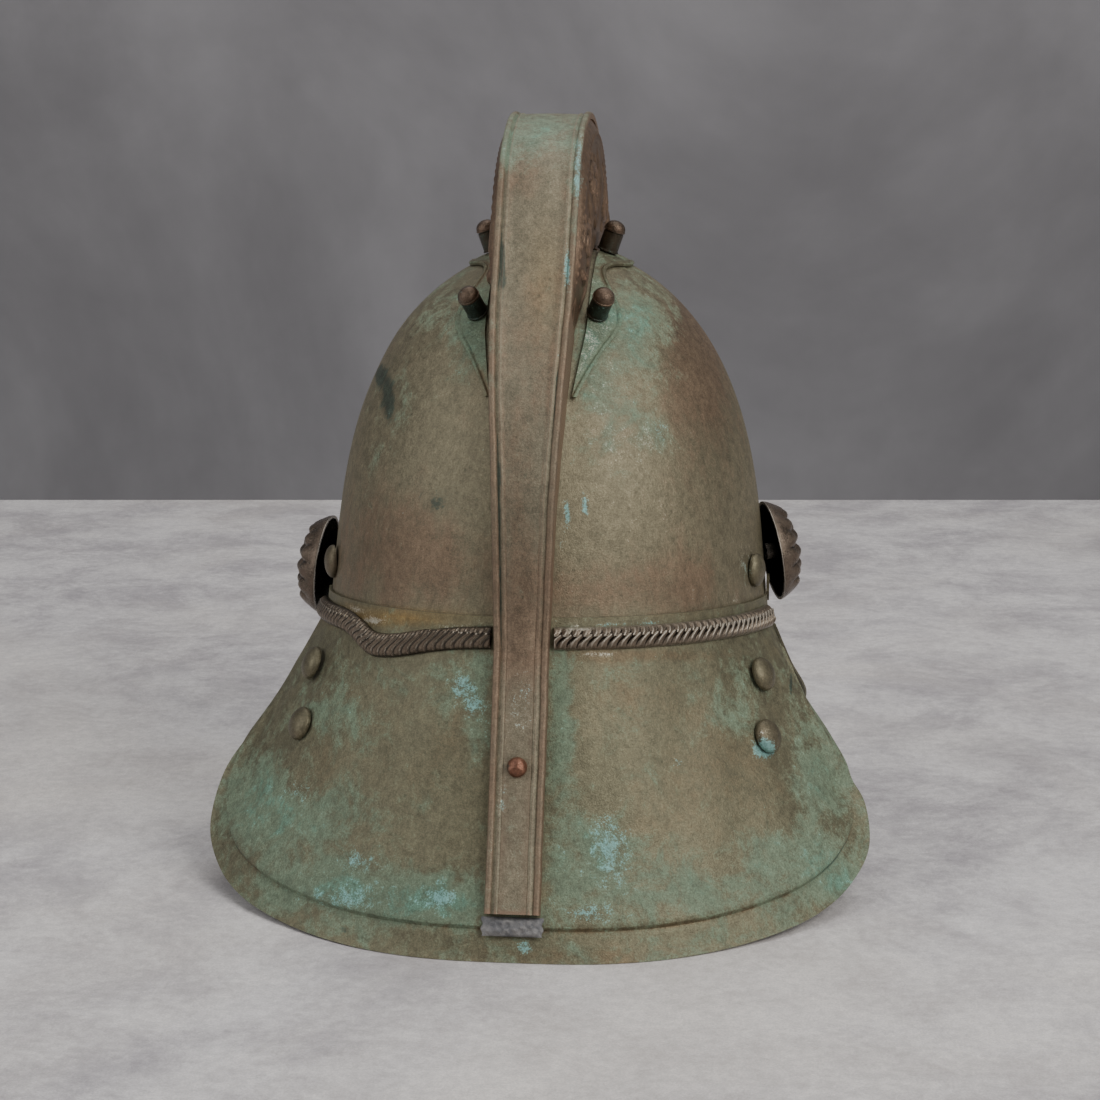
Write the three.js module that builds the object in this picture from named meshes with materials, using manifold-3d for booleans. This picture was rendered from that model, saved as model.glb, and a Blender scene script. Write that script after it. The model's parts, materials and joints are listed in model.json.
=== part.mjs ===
// Brass firefighter helmet, standing by itself on a flat surface.
// Millimetres, +Z up, the wearer looks along +Y. The shape is worked out in the
// helmet's own frame: x to the right, u backwards and h up from the joint of skull
// and peaks. The whole is then pitched forward until both peaks touch the surface.

import * as THREE from 'three';
import { mergeVertices } from 'three/addons/utils/BufferGeometryUtils.js';
import Module from 'manifold-3d';

const wasm = await Module();
wasm.setup();

// Skull
const skullWidth = 185;
const skullLength = 214;
const skullHeight = 151.5;
const skullWall = 0.9;
const skullLap = 4;
const domeFullness = 2.45;
const baseTaper = 0.16;

// Rear peak, which is the neck guard
const guardReach = 137;
const guardSpan = 270;
const guardDrop = 120;
const guardWall = 0.9;
const guardLap = 7;
const guardBow = 3;
const guardRimWidth = 12;
const guardRimStep = 1.6;
const guardRimRamp = 1.6;

// Front peak
const visorReach = 163;
const visorSpan = 226;
const visorDrop = 87;
const visorBow = 4;

// Rim of a peak where it is short, as shares of its length and of the rim's width,
// and the length from which a peak bows fully
const rimShare = 0.12;
const stepShare = 0.14;
const bowLength = 60;

// Comb
const combRise = 54;
const combPlateWall = 0.9;
const combBulge = 3.4;
const combMoulding = 1.1;
const reliefWire = 1.5;
const combInset = 0.6;
const combEndTaper = 14;
const ridgeWidth = 32;
const ridgeTailWidth = 21;
const ridgeThickness = 1;
const ridgeBead = 1.3;
const ridgeTailRise = 4.6;
const ridgeTailFlare = 0.8;
const ridgeLip = 0.8;
const ridgeMargin = 3;
const ridgeEndShare = 0.855;

// Foot plates and the posts that clamp them
const footWidth = 12;
const footLeast = 1;
const footWall = 1;
const footClearance = 1.1;
const footFlare = 2.6;
const footTaper = 20;
const footFrom = 18;
const footTo = 162;
const postRadius = 4.5;
const postHeight = 13;
const postOffset = 23;
const postCollar = 0.8;

// Rope band
const ropeHeight = 9;
const ropeDepth = 3.4;
const ropePitch = 3.85;
const ropeSag = 6;
const ropeDrop = 1;
const ropeEarShare = 0.075;

// Rosettes, studs and rivets
const rosetteRadius = 21.3;
const rosetteDome = 10.5;
const rosetteWall = 1.2;
const rosetteForward = 8;
const shankRadius = 3.5;
const studRadius = 6.9;
const studDome = 4.2;
const studHeight = 19;
const studSetback = 33;
const stripRivetRadius = 3.9;
const stripRivetShare = 0.41;
const patchLength = 7;
const patchThickness = 2.4;
const tongueWidth = 4;
const tongueLength = 11;
const tongueSetback = 12;
const tongueThickness = 1.2;

// Fits
const seatGap = 0.45;
const extraGap = 0.2;
const floorWear = 0.5;

const brass = { color: 0x6f6b4a, roughness: 0.62, metalness: 0.75 };
const green = { color: 0x6c7d5c, roughness: 0.75, metalness: 0.5 };
const copper = { color: 0x7a5a44, roughness: 0.55, metalness: 0.8 };
const dark = { color: 0x3c3528, roughness: 0.5, metalness: 0.8 };
const lead = { color: 0x76777a, roughness: 0.7, metalness: 0.6 };

const radians = THREE.MathUtils.degToRad;
const helmet = new THREE.Group();

// Cubic through a table's rows, each row being [place, value]
function through(rows, place) {
  const last = rows.length - 1;
  if (place <= rows[0][0]) return rows[0][1];
  if (place >= rows[last][0]) return rows[last][1];
  let k = 0;
  while (rows[k + 1][0] < place) k += 1;
  const slopeAt = (i) => {
    const a = rows[Math.max(i - 1, 0)];
    const b = rows[Math.min(i + 1, last)];
    return (b[1] - a[1]) / (b[0] - a[0]);
  };
  const span = rows[k + 1][0] - rows[k][0];
  const t = (place - rows[k][0]) / span;
  const hermite = [2 * t ** 3 - 3 * t ** 2 + 1, t ** 3 - 2 * t ** 2 + t, 3 * t ** 2 - 2 * t ** 3, t ** 3 - t ** 2];
  return hermite[0] * rows[k][1] + hermite[1] * span * slopeAt(k)
    + hermite[2] * rows[k + 1][1] + hermite[3] * span * slopeAt(k + 1);
}

function range(count, from, to) {
  return Array.from({ length: count + 1 }, (_, i) => from + (to - from) * i / count);
}

// Square of the share of the base half width that the dome has at a share of its height
function domeSquare(s) {
  return (1 - baseTaper * s * (1 - s) ** 2) ** 2 * (1 - Math.max(s, 0) ** domeFullness);
}

function domeShare(share) {
  return Math.sqrt(Math.max(domeSquare(share), 0));
}

// Positive outside the dome, negative inside
function outsideSkull(x, u, h) {
  return (2 * x / skullWidth) ** 2 + (2 * u / skullLength) ** 2 - domeSquare(h / skullHeight);
}

// The centre that the comb's stations are measured round, in the plane x = 0
const hubHeight = 60;

// Point on the dome at an angle round the hub, 0 backwards and 90 up, x to one side
function onSkull(angle, x, lift) {
  const cu = Math.cos(radians(angle));
  const ch = Math.sin(radians(angle));
  let low = 0;
  let high = skullLength;
  for (let i = 0; i < 40; i += 1) {
    const r = (low + high) / 2;
    if (outsideSkull(x, r * cu, hubHeight + r * ch) > 0) high = r;
    else low = r;
  }
  const p = new THREE.Vector3(x, low * cu, hubHeight + low * ch);
  return p.addScaledVector(skullNormal(p), lift);
}

function skullNormal(p) {
  const e = 0.05;
  const f = (dx, du, dh) => outsideSkull(p.x + dx, p.y + du, p.z + dh);
  return new THREE.Vector3(
    f(e, 0, 0) - f(-e, 0, 0),
    f(0, e, 0) - f(0, -e, 0),
    f(0, 0, e) - f(0, 0, -e),
  ).normalize();
}

// Point on the skull's lower wall, angle round the vertical axis from the rear
function onSkullWall(angle, h, lift) {
  const share = domeShare(h / skullHeight);
  const x = (skullWidth / 2 * share + lift) * Math.sin(angle);
  const u = (skullLength / 2 * share + lift) * Math.cos(angle);
  return new THREE.Vector3(x, u, h);
}

// How far to the side the dome lies at a place backwards and up
function skullBeside(u, h) {
  return skullWidth / 2 * Math.sqrt(domeSquare(h / skullHeight) - (2 * u / skullLength) ** 2);
}

// Closed mesh from triangles, turned so that its faces point out
function solid(points, triangles) {
  let volume = 0;
  for (const [a, b, c] of triangles) {
    volume += points[a].dot(points[b].clone().cross(points[c]));
  }
  const index = triangles.flatMap(([a, b, c]) => (volume > 0 ? [a, b, c] : [a, c, b]));
  const geometry = new THREE.BufferGeometry();
  geometry.setAttribute('position', new THREE.Float32BufferAttribute(points.flatMap((p) => p.toArray()), 3));
  geometry.setIndex(index);
  geometry.computeVertexNormals();
  return geometry;
}

// Closed sheet between two grids of points of the same size
function sheet(outer, inner) {
  const rows = outer.length;
  const cols = outer[0].length;
  const points = [...outer.flat(), ...inner.flat()];
  const at = (side, i, j) => side * rows * cols + i * cols + j;
  const triangles = [];
  const quad = (a, b, c, d) => triangles.push([a, b, c], [a, c, d]);
  for (let i = 0; i < rows - 1; i += 1) {
    for (let j = 0; j < cols - 1; j += 1) {
      quad(at(0, i, j), at(0, i + 1, j), at(0, i + 1, j + 1), at(0, i, j + 1));
      quad(at(1, i, j), at(1, i, j + 1), at(1, i + 1, j + 1), at(1, i + 1, j));
    }
    quad(at(0, i, 0), at(1, i, 0), at(1, i + 1, 0), at(0, i + 1, 0));
    quad(at(0, i, cols - 1), at(0, i + 1, cols - 1), at(1, i + 1, cols - 1), at(1, i, cols - 1));
  }
  for (let j = 0; j < cols - 1; j += 1) {
    quad(at(0, 0, j), at(0, 0, j + 1), at(1, 0, j + 1), at(1, 0, j));
    quad(at(0, rows - 1, j), at(1, rows - 1, j), at(1, rows - 1, j + 1), at(0, rows - 1, j + 1));
  }
  return solid(points, triangles);
}

// Solid through closed sections of the same number of points, ends capped
function sweep(sections, outline) {
  const count = sections[0].length;
  const points = sections.flat();
  const triangles = [];
  for (let i = 0; i < sections.length - 1; i += 1) {
    for (let j = 0; j < count; j += 1) {
      const a = i * count + j;
      const b = i * count + (j + 1) % count;
      triangles.push([a, a + count, b + count], [a, b + count, b]);
    }
  }
  const cap = THREE.ShapeUtils.triangulateShape(outline, []);
  const wound = THREE.ShapeUtils.isClockWise(outline) ? 1 : -1;
  const end = (sections.length - 1) * count;
  for (const [a, b, c] of cap) {
    triangles.push(wound > 0 ? [a, c, b] : [a, b, c]);
    triangles.push(wound > 0 ? [end + a, end + b, end + c] : [end + a, end + c, end + b]);
  }
  return solid(points, triangles);
}

function asManifold(geometry) {
  const bare = geometry.clone();
  bare.deleteAttribute('normal');
  bare.deleteAttribute('uv');
  const merged = mergeVertices(bare, 1e-4);
  return new wasm.Manifold(new wasm.Mesh({
    numProp: 3,
    vertProperties: new Float32Array(merged.attributes.position.array),
    triVerts: new Uint32Array(merged.index.array),
  }));
}

function fromManifold(manifold) {
  const mesh = manifold.getMesh();
  const geometry = new THREE.BufferGeometry();
  geometry.setAttribute('position', new THREE.BufferAttribute(new Float32Array(mesh.vertProperties), 3));
  geometry.setIndex([...mesh.triVerts]);
  geometry.computeVertexNormals();
  return geometry;
}

function lathe(profile, segments) {
  const geometry = new THREE.LatheGeometry(profile.map(([r, z]) => new THREE.Vector2(r, z)), segments);
  return geometry.rotateX(Math.PI / 2);
}

// Pitch that brings both peaks' lowest edges onto the surface
const pitch = Math.atan2(guardDrop - visorDrop, guardReach + visorReach);

// From the helmet's frame to the standing one
function standing(p) {
  const y = -p.y;
  const lift = guardDrop * Math.cos(pitch) - guardReach * Math.sin(pitch) - floorWear;
  return new THREE.Vector3(
    p.x,
    y * Math.cos(pitch) + p.z * Math.sin(pitch),
    -y * Math.sin(pitch) + p.z * Math.cos(pitch) + lift,
  );
}

// What reaches below the surface is worn flat against it
function stood(grid) {
  return grid.map((row) => row.map((p) => {
    const q = standing(p);
    return q.setZ(Math.max(q.z, 0));
  }));
}

function add(name, geometry, finish) {
  const mesh = new THREE.Mesh(geometry, new THREE.MeshStandardMaterial(finish));
  mesh.name = name;
  helmet.add(mesh);
  return mesh;
}

// A turned piece set on a point with its axis along a direction
function addTurned(name, geometry, finish, point, direction) {
  const mesh = add(name, geometry, finish);
  const tip = standing(point.clone().add(direction));
  const foot = standing(point);
  mesh.position.copy(foot);
  mesh.quaternion.setFromUnitVectors(new THREE.Vector3(0, 0, 1), tip.sub(foot).normalize());
  return mesh;
}

function addSkull() {
  const segments = 40;
  const levels = [0, 0.14, 0.3, 0.46, 0.6, 0.72, 0.82, 0.9, 0.955, 0.988];
  const half = skullWidth / 2;
  const outer = levels.map((s) => [half * domeShare(s), s * skullHeight]);
  const inner = outer.slice(0, -1).map(([r, h], i) => [r - skullWall, h - skullWall * (i / levels.length) ** 2]);
  const profile = [
    [0, skullHeight],
    ...outer.reverse(),
    [half, -skullLap],
    [half - skullWall, -skullLap],
    ...inner,
    [half * domeShare(levels.at(-1)) - skullWall, levels.at(-1) * skullHeight - skullWall],
    [0, skullHeight - skullWall * 1.3],
  ];
  const geometry = lathe(profile.reverse(), segments);
  geometry.scale(1, skullLength / skullWidth, 1);
  const position = geometry.attributes.position;
  for (let i = 0; i < position.count; i += 1) {
    const p = standing(new THREE.Vector3(position.getX(i), -position.getY(i), position.getZ(i)));
    position.setXYZ(i, p.x, p.y, p.z);
  }
  geometry.computeVertexNormals();
  add('skull', geometry, brass);
}

// Free edge of the neck guard from the rear to the ear, in shares of half the span,
// of the reach and of the drop. columns: side, back, down
const guardEdge = [
  [0, 1, 1],
  [0.26, 0.985, 0.998],
  [0.47, 0.92, 0.988],
  [0.68, 0.79, 0.962],
  [0.84, 0.645, 0.917],
  [0.94, 0.5, 0.85],
  [0.994, 0.365, 0.75],
  [0.968, 0.285, 0.585],
  [0.9, 0.225, 0.46],
  [0.81, 0.165, 0.32],
  [0.725, 0.115, 0.13],
];

// Free edge of the front peak from the tip to the ear, with the same columns
const visorEdge = [
  [0, 1, 1],
  [0.35, 0.975, 0.985],
  [0.66, 0.86, 0.92],
  [0.9, 0.68, 0.78],
  [0.97, 0.46, 0.57],
  [0.9, 0.26, 0.34],
  [0.835, 0.13, 0.12],
];

// Whole edge as a curve from one ear to the other, u counted away from the middle
function edgeCurve(rows, span, reach, drop) {
  const half = rows.map(([side, back, down]) => new THREE.Vector3(side * span / 2, back * reach, -down * drop));
  const mirrored = half.slice(1).reverse().map((p) => new THREE.Vector3(-p.x, p.y, p.z));
  return new THREE.CatmullRomCurve3([...mirrored, ...half], false, 'centripetal');
}

const guardCurve = edgeCurve(guardEdge, guardSpan, guardReach, guardDrop);
const visorCurve = edgeCurve(visorEdge, visorSpan, visorReach, visorDrop);

// Frame of one meridian of a peak: where it leaves the skull and where it ends
function meridian(curve, share, lift) {
  const edge = curve.getPointAt(share);
  const angle = Math.atan2(edge.x / skullWidth, edge.y / skullLength);
  const foot = onSkullWall(angle, 0, lift);
  return { edge, foot, angle };
}

// Point of a peak's outer face; down runs from 0 at the joint to 1 at the free edge
function onPeak(curve, bow, share, down, lift) {
  const { edge, foot, angle } = meridian(curve, share, 0);
  const run = edge.clone().sub(foot);
  const out = new THREE.Vector3(Math.sin(angle), Math.cos(angle), 0);
  const normal = out.clone().multiplyScalar(-run.z).addScaledVector(new THREE.Vector3(0, 0, 1), run.dot(out));
  normal.normalize();
  const hollow = bow * Math.min(1, run.length() / bowLength) * Math.sin(Math.PI * down);
  return foot.addScaledVector(run, down).addScaledVector(normal, lift - hollow);
}

const lapLift = seatGap + guardWall;

// Outward normal of the neck guard's face
function guardNormal(share, down) {
  const e = 0.01;
  const along = onGuard(share + e, down, 0).sub(onGuard(share - e, down, 0));
  const fall = onGuard(share, down + e, 0).sub(onGuard(share, down - e, 0));
  const normal = along.cross(fall).normalize();
  return normal.y < 0 ? normal.negate() : normal;
}

function onGuard(share, down, lift) {
  return onPeak(guardCurve, guardBow, share, down, lapLift + lift);
}

// Rim of the neck guard on a meridian of some length: its width and its step
function rimOf(length) {
  const width = Math.min(guardRimWidth, length * rimShare);
  return { width, step: Math.min(guardRimStep, width * stepShare) };
}

// Rise of the raised panel over the rim's level, down from the joint
function panelRise(step, down) {
  return step * Math.min(1, down * 3);
}

// Rows of the neck guard: the lap on the skull, then down to the edge with a stepped rim
function guardGrid(lift) {
  return range(36, 0, 1).map((share) => {
    const { edge, foot, angle } = meridian(guardCurve, share, 0);
    const length = edge.distanceTo(foot);
    const { width, step } = rimOf(length);
    const inset = width / length;
    const ramp = guardRimRamp / length;
    const onWall = (h) => onSkullWall(angle, h, lapLift + lift);
    const rows = [onWall(guardLap), onWall(0)];
    for (const k of [0.16, 0.38, 0.62, 0.84]) {
      rows.push(onGuard(share, k * (1 - inset), lift + panelRise(step, k)));
    }
    rows.push(onGuard(share, 1 - inset - ramp, lift + step));
    rows.push(onGuard(share, 1 - inset, lift));
    rows.push(onGuard(share, 1, lift));
    return rows;
  });
}

function addRearPeak() {
  add('rear_peak', sheet(stood(guardGrid(0)), stood(guardGrid(-guardWall))), green);
}

function addFrontPeak() {
  const shares = range(24, 0, 1);
  const forward = (grid) => grid.map((row) => row.map((p) => new THREE.Vector3(p.x, -p.y, p.z)));
  const grid = (lift) => shares.map((share) => {
    const { angle } = meridian(visorCurve, share, 0);
    const rows = [onSkullWall(angle, guardLap, lapLift + lift), onSkullWall(angle, 0, lapLift + lift)];
    for (const k of [0.2, 0.5, 0.8, 1]) {
      rows.push(onPeak(visorCurve, visorBow, share, k, lapLift + lift));
    }
    return rows;
  });
  add('front_peak', sheet(stood(forward(grid(0))), stood(forward(grid(-guardWall)))), green);
}

// Rise of the comb over the dome round the hub. columns: angle, share of the full rise
const combProfile = [
  [-29, 0.12],
  [-14, 0.185],
  [-4, 0.24],
  [6, 0.27],
  [16, 0.31],
  [27, 0.33],
  [38, 0.38],
  [46, 0.46],
  [54, 0.61],
  [64, 0.84],
  [77, 0.98],
  [90, 1],
  [103, 0.94],
  [116, 0.78],
  [127, 0.57],
  [137, 0.41],
  [150, 0.31],
  [170, 0.26],
  [190, 0.19],
  [209, 0.11],
];

// Width of the cap strip round the hub. columns: angle, share from tail width to full width
const ridgeProfile = [
  [-29, 0.05],
  [0, 0.38],
  [20, 0.75],
  [40, 1],
  [140, 1],
  [165, 0.6],
  [209, 0.1],
];

const combFrom = 36;
const combTo = 144;

// Station of the cap strip on the dome: crest point, outward normal, half width, skirt
function domeStation(angle) {
  const foot = onSkull(angle, 0, 0);
  const normal = onSkull(angle, 0, 1).sub(foot);
  const rise = combRise * through(combProfile, angle);
  const half = (ridgeTailWidth + (ridgeWidth - ridgeTailWidth) * through(ridgeProfile, angle)) / 2;
  const full = rise - ridgeThickness - 2 * seatGap;
  const inComb = angle > combFrom - ridgeMargin && angle < combTo + ridgeMargin;
  return { crest: foot.clone().addScaledVector(normal, rise), normal, half, skirt: inComb ? ridgeLip : full };
}

// Station of the cap strip on the neck guard, down from 0 to 1
function guardStation(down) {
  const panel = panelRise(guardRimStep, down);
  const foot = onGuard(0.5, down, panel);
  const normal = onGuard(0.5, down, panel + 1).sub(foot);
  const rise = THREE.MathUtils.lerp(ridgeTailRise + ridgeTailFlare, ridgeTailRise, down);
  const full = rise - ridgeThickness - 2 * seatGap;
  return { crest: foot.clone().addScaledVector(normal, rise), normal, half: ridgeTailWidth / 2, skirt: full };
}

// Section of the cap strip: a channel with a rolled bead on each edge
function ridgeOutline(half, skirt) {
  const bead = ridgeBead;
  const top = [
    [-half, -ridgeThickness - skirt],
    [-half - bead * 0.3, -ridgeThickness],
    [-half + bead * 0.2, bead * 0.3],
    [-half + bead * 1.3, bead * 0.2],
    [-half + bead * 2, -bead * 0.5],
  ];
  const right = top.slice().reverse().map(([x, n]) => [-x, n]);
  const under = [
    [half - ridgeThickness, -ridgeThickness - skirt],
    [half - ridgeThickness, -ridgeThickness - bead * 0.5],
    [-half + ridgeThickness, -ridgeThickness - bead * 0.5],
    [-half + ridgeThickness, -ridgeThickness - skirt],
  ];
  return [...top, ...right, ...under];
}

function addRidge() {
  const rear = [combFrom - ridgeMargin + 0.5, combFrom - ridgeMargin - 0.5];
  const front = [combTo + ridgeMargin + 0.5, combTo + ridgeMargin - 0.5];
  const angles = [
    ...range(6, 203, 155),
    ...front,
    ...range(21, 142, 38),
    ...rear,
    ...range(6, 28, -24),
  ];
  const stations = [
    ...angles.map(domeStation),
    ...range(11, 0.05, ridgeEndShare).map(guardStation),
  ];
  const sections = stations.map(({ crest, normal, half, skirt }) => (
    ridgeOutline(half, Math.max(skirt, ridgeLip)).map(([x, n]) => (
      standing(crest.clone().addScaledVector(normal, n).setX(x))
    ))
  ));
  const flat = ridgeOutline(ridgeTailWidth / 2, 2).map(([x, n]) => new THREE.Vector2(x, n));
  add('comb_ridge', sweep(sections, flat), copper);
}

// Outward offset of the comb's side over its height, from the crest at 0 to the foot at 1.
// columns: share, bulge share, moulding
const combSide = [
  [0, 0, 0],
  [0.07, 0.3, 1],
  [0.14, 0.5, 1],
  [0.18, 0.6, 0],
  [0.5, 0.95, 0],
  [0.82, 0.8, 0],
  [0.86, 0.75, 1],
  [0.94, 0.6, 1],
  [1, 0.55, 0],
];

// Point on the comb's side plate
function onComb(angle, row, lift) {
  const [share, bulge, moulding] = row;
  const { crest, normal, half } = domeStation(angle);
  const ends = Math.min(1, Math.min(angle - combFrom, combTo - angle) / combEndTaper);
  const start = crest.addScaledVector(normal, -ridgeThickness - ridgeLip - 2.5 * seatGap);
  const x = half - combInset + ends * (combBulge * bulge + combMoulding * moulding) + lift;
  const foot = onSkull(angle, x, seatGap * 1.6);
  return new THREE.Vector3(
    x,
    THREE.MathUtils.lerp(start.y, foot.y, share),
    THREE.MathUtils.lerp(start.z, foot.z, share),
  );
}

// Scrolls of the relief on each side, their size a share of the side's height there.
// columns: angle, size, turns, hand
const scrolls = [
  [57, 0.23, 1.2, 1],
  [76, 0.25, 1.5, 1],
  [104, 0.25, 1.5, -1],
  [121, 0.23, 1.2, -1],
];

// Leaves between the scrolls. columns: angle, half length as a share of the height
const leaves = [
  [66.5, 0.15],
  [90, 0.26],
  [113, 0.15],
];

function combHeight(angle) {
  return onComb(angle, [0, 0, 0], 0).distanceTo(onComb(angle, [1, 0, 0], 0));
}

// A scroll as a tapering spiral in the side plate's face
function scrollTube(angle, size, turns, hand) {
  const centre = onComb(angle, [0.5, 0.95, 0], 0);
  const radius = size * combHeight(angle);
  const points = range(12, 0, 1).map((t) => {
    const swing = t * turns * 2 * Math.PI;
    const r = radius * (1 - 0.8 * t);
    return new THREE.Vector3(
      centre.x,
      centre.y + hand * r * Math.cos(swing),
      centre.z + r * Math.sin(swing),
    );
  });
  const section = new THREE.Shape(range(3, 0, 0.75).map((k) => (
    new THREE.Vector2(reliefWire * Math.cos(2 * Math.PI * k), reliefWire * Math.sin(2 * Math.PI * k))
  )));
  const path = new THREE.CatmullRomCurve3(points);
  return new THREE.ExtrudeGeometry(section, { steps: 12, bevelEnabled: false, extrudePath: path });
}

// Upright bud of the relief between the scrolls
function leaf(angle, size) {
  const centre = onComb(angle, [0.5, 0.95, 0], 0);
  const length = size * combHeight(angle);
  const geometry = new THREE.SphereGeometry(1, 6, 4);
  geometry.scale(length * 0.38, length, reliefWire * 1.2);
  geometry.rotateX(Math.PI / 2);
  geometry.rotateZ(Math.PI / 2);
  return geometry.translate(centre.x, centre.y, centre.z);
}

function addCombSides() {
  const angles = range(20, combFrom, combTo);
  const outer = angles.map((angle) => combSide.map((row) => onComb(angle, row, 0)));
  const inner = angles.map((angle) => combSide.map((row) => onComb(angle, row, -combPlateWall)));
  let plate = asManifold(sheet(outer, inner));
  for (const scroll of scrolls) {
    plate = plate.add(asManifold(scrollTube(...scroll)));
  }
  for (const blade of leaves) {
    plate = plate.add(asManifold(leaf(...blade)));
  }
  const right = fromManifold(plate);
  for (const [name, side] of [['comb_left', -1], ['comb_right', 1]]) {
    const position = right.attributes.position;
    const points = [];
    for (let i = 0; i < position.count; i += 1) {
      points.push(standing(new THREE.Vector3(position.getX(i) * side, position.getY(i), position.getZ(i))));
    }
    const flat = right.index.array;
    const triangles = [];
    for (let i = 0; i < flat.length; i += 3) triangles.push([flat[i], flat[i + 1], flat[i + 2]]);
    add(name, solid(points, triangles), copper);
  }
}

// Where the posts stand round the hub
const postAngles = [44, 82, 136];

// Outer edge of the foot plate beyond its inner edge. columns: angle, share of its width
const footProfile = [
  [18, 0.02],
  [26, 0.3],
  [34, 0.62],
  [40, 0.88],
  [44, 1],
  [49, 0.92],
  [55, 0.62],
  [61, 0.36],
  [66, 0.3],
  [71, 0.5],
  [79, 1],
  [92, 1],
  [104, 0.6],
  [113, 0.3],
  [122, 0.4],
  [129, 0.8],
  [136, 1],
  [146, 0.62],
  [154, 0.3],
  [162, 0.02],
];

function addFeet() {
  const angles = range(33, footFrom + 1, footTo - 1);
  for (const [name, side] of [['comb_foot_left', -1], ['comb_foot_right', 1]]) {
    const grid = (lift) => angles.map((angle) => {
      const ends = Math.min(1, Math.min(angle - footFrom, footTo - angle) / footTaper);
      const from = domeStation(angle).half + footFlare * ends + footClearance;
      const width = footLeast + footWidth * through(footProfile, angle);
      return range(3, 0, 1).map((t) => standing(onSkull(angle, side * (from + width * t), seatGap + lift)));
    });
    add(name, sheet(grid(footWall), grid(0)), green);
  }
}

function addPosts() {
  const r = postRadius;
  const collar = postHeight * 0.66;
  const profile = [
    [0, 0],
    [r * 0.92, 0],
    [r * 0.92, collar],
    [r, collar],
    [r, collar + postCollar],
    [r * 0.7, postHeight - postCollar],
    [0, postHeight],
  ];
  for (const [name, side] of [['foot_post_left', -1], ['foot_post_right', 1]]) {
    postAngles.forEach((angle, i) => {
      const seat = onSkull(angle, side * postOffset, footWall + 2 * seatGap + extraGap);
      const normal = skullNormal(seat);
      const shank = lathe(profile, 8);
      addTurned(`${name}_${i + 1}`, shank, dark, seat, normal);
    });
  }
}

// Height of the rope band's middle below the joint, at a share of the guard's edge
function ropeLine(share) {
  const sag = Math.exp(-(((share - 0.36) / 0.05) ** 2));
  return -ropeDrop - ropeSag * sag;
}

// Point of the neck guard's outer face at a height, share along its edge
function guardAtHeight(share, h, lift) {
  const { edge, foot, angle } = meridian(guardCurve, share, 0);
  if (h > 0) return onSkullWall(angle, h, lapLift + lift);
  const down = h / (edge.z - foot.z);
  const { step } = rimOf(edge.distanceTo(foot));
  return onGuard(share, down, lift + panelRise(step, down));
}

// Rope strip: two rows of bosses, half a pitch apart, so that the lobes slant
function addRope(name, from, to, face) {
  const count = Math.round(ropeLength(from, to, face) / ropePitch) * 2;
  const cross = [
    [-0.5, 0, 0],
    [-0.5, 0.3, 0],
    [-0.2, 1, 1],
    [0.2, 1, -1],
    [0.5, 0.3, 0],
    [0.5, 0, 0],
  ];
  const sections = range(count, from, to).map((share, i) => cross.map(([across, depth, phase]) => {
    const wave = i % 2 === 0 ? 1 : -1;
    const lift = depth * ropeDepth * (1 + 0.22 * phase * wave);
    return standing(face(share, across * ropeHeight, seatGap + lift));
  }));
  const flat = cross.map(([across, depth]) => new THREE.Vector2(across * ropeHeight, depth * ropeDepth));
  add(name, sweep(sections, flat), dark);
}

function ropeLength(from, to, face) {
  const points = range(40, from, to).map((share) => face(share, 0, 0));
  return points.slice(1).reduce((sum, p, i) => sum + p.distanceTo(points[i]), 0);
}

// Share of the guard's edge whose joint with the skull lies at a distance to the right
function shareBeside(x) {
  let low = 0.5;
  let high = 0.75;
  for (let i = 0; i < 30; i += 1) {
    const share = (low + high) / 2;
    if (guardAtHeight(share, 0, 0).x > x) high = share;
    else low = share;
  }
  return low;
}

function addRopes() {
  const rear = (share, across, lift) => guardAtHeight(share, ropeLine(share) + across, lift);
  const clear = shareBeside(ridgeTailWidth / 2 + ridgeBead + 3 * seatGap);
  addRope('rope_band_rear_right', clear, 1 - ropeEarShare, rear);
  addRope('rope_band_rear_left', ropeEarShare, 1 - clear, rear);
}

// Plain rounded strip over the front joint, from ear to ear
function addFrontBand() {
  const cross = [
    [-0.5, 0],
    [-0.5, 0.3],
    [0, 1],
    [0.5, 0.3],
    [0.5, 0],
  ];
  const sections = range(40, -66, 66).map((degrees) => cross.map(([across, depth]) => {
    const lift = lapLift + seatGap + extraGap + depth * ropeDepth;
    const h = 1 + across * ropeHeight * 0.7 + ropeHeight * 0.3;
    const p = onSkullWall(radians(degrees), h, lift);
    return standing(new THREE.Vector3(p.x, -p.y, p.z));
  }));
  const flat = cross.map(([across, depth]) => new THREE.Vector2(across * ropeHeight, depth * ropeDepth));
  add('rope_band_front', sweep(sections, flat), dark);
}

// How each rosette hangs. columns: name, side, height, stand-off, turn forward, tilt up
const rosettes = [
  ['rosette_left', -1, 12.6, 6.3, 3, 7],
  ['rosette_right', 1, 22.6, 2.3, 13, 11],
];

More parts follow.
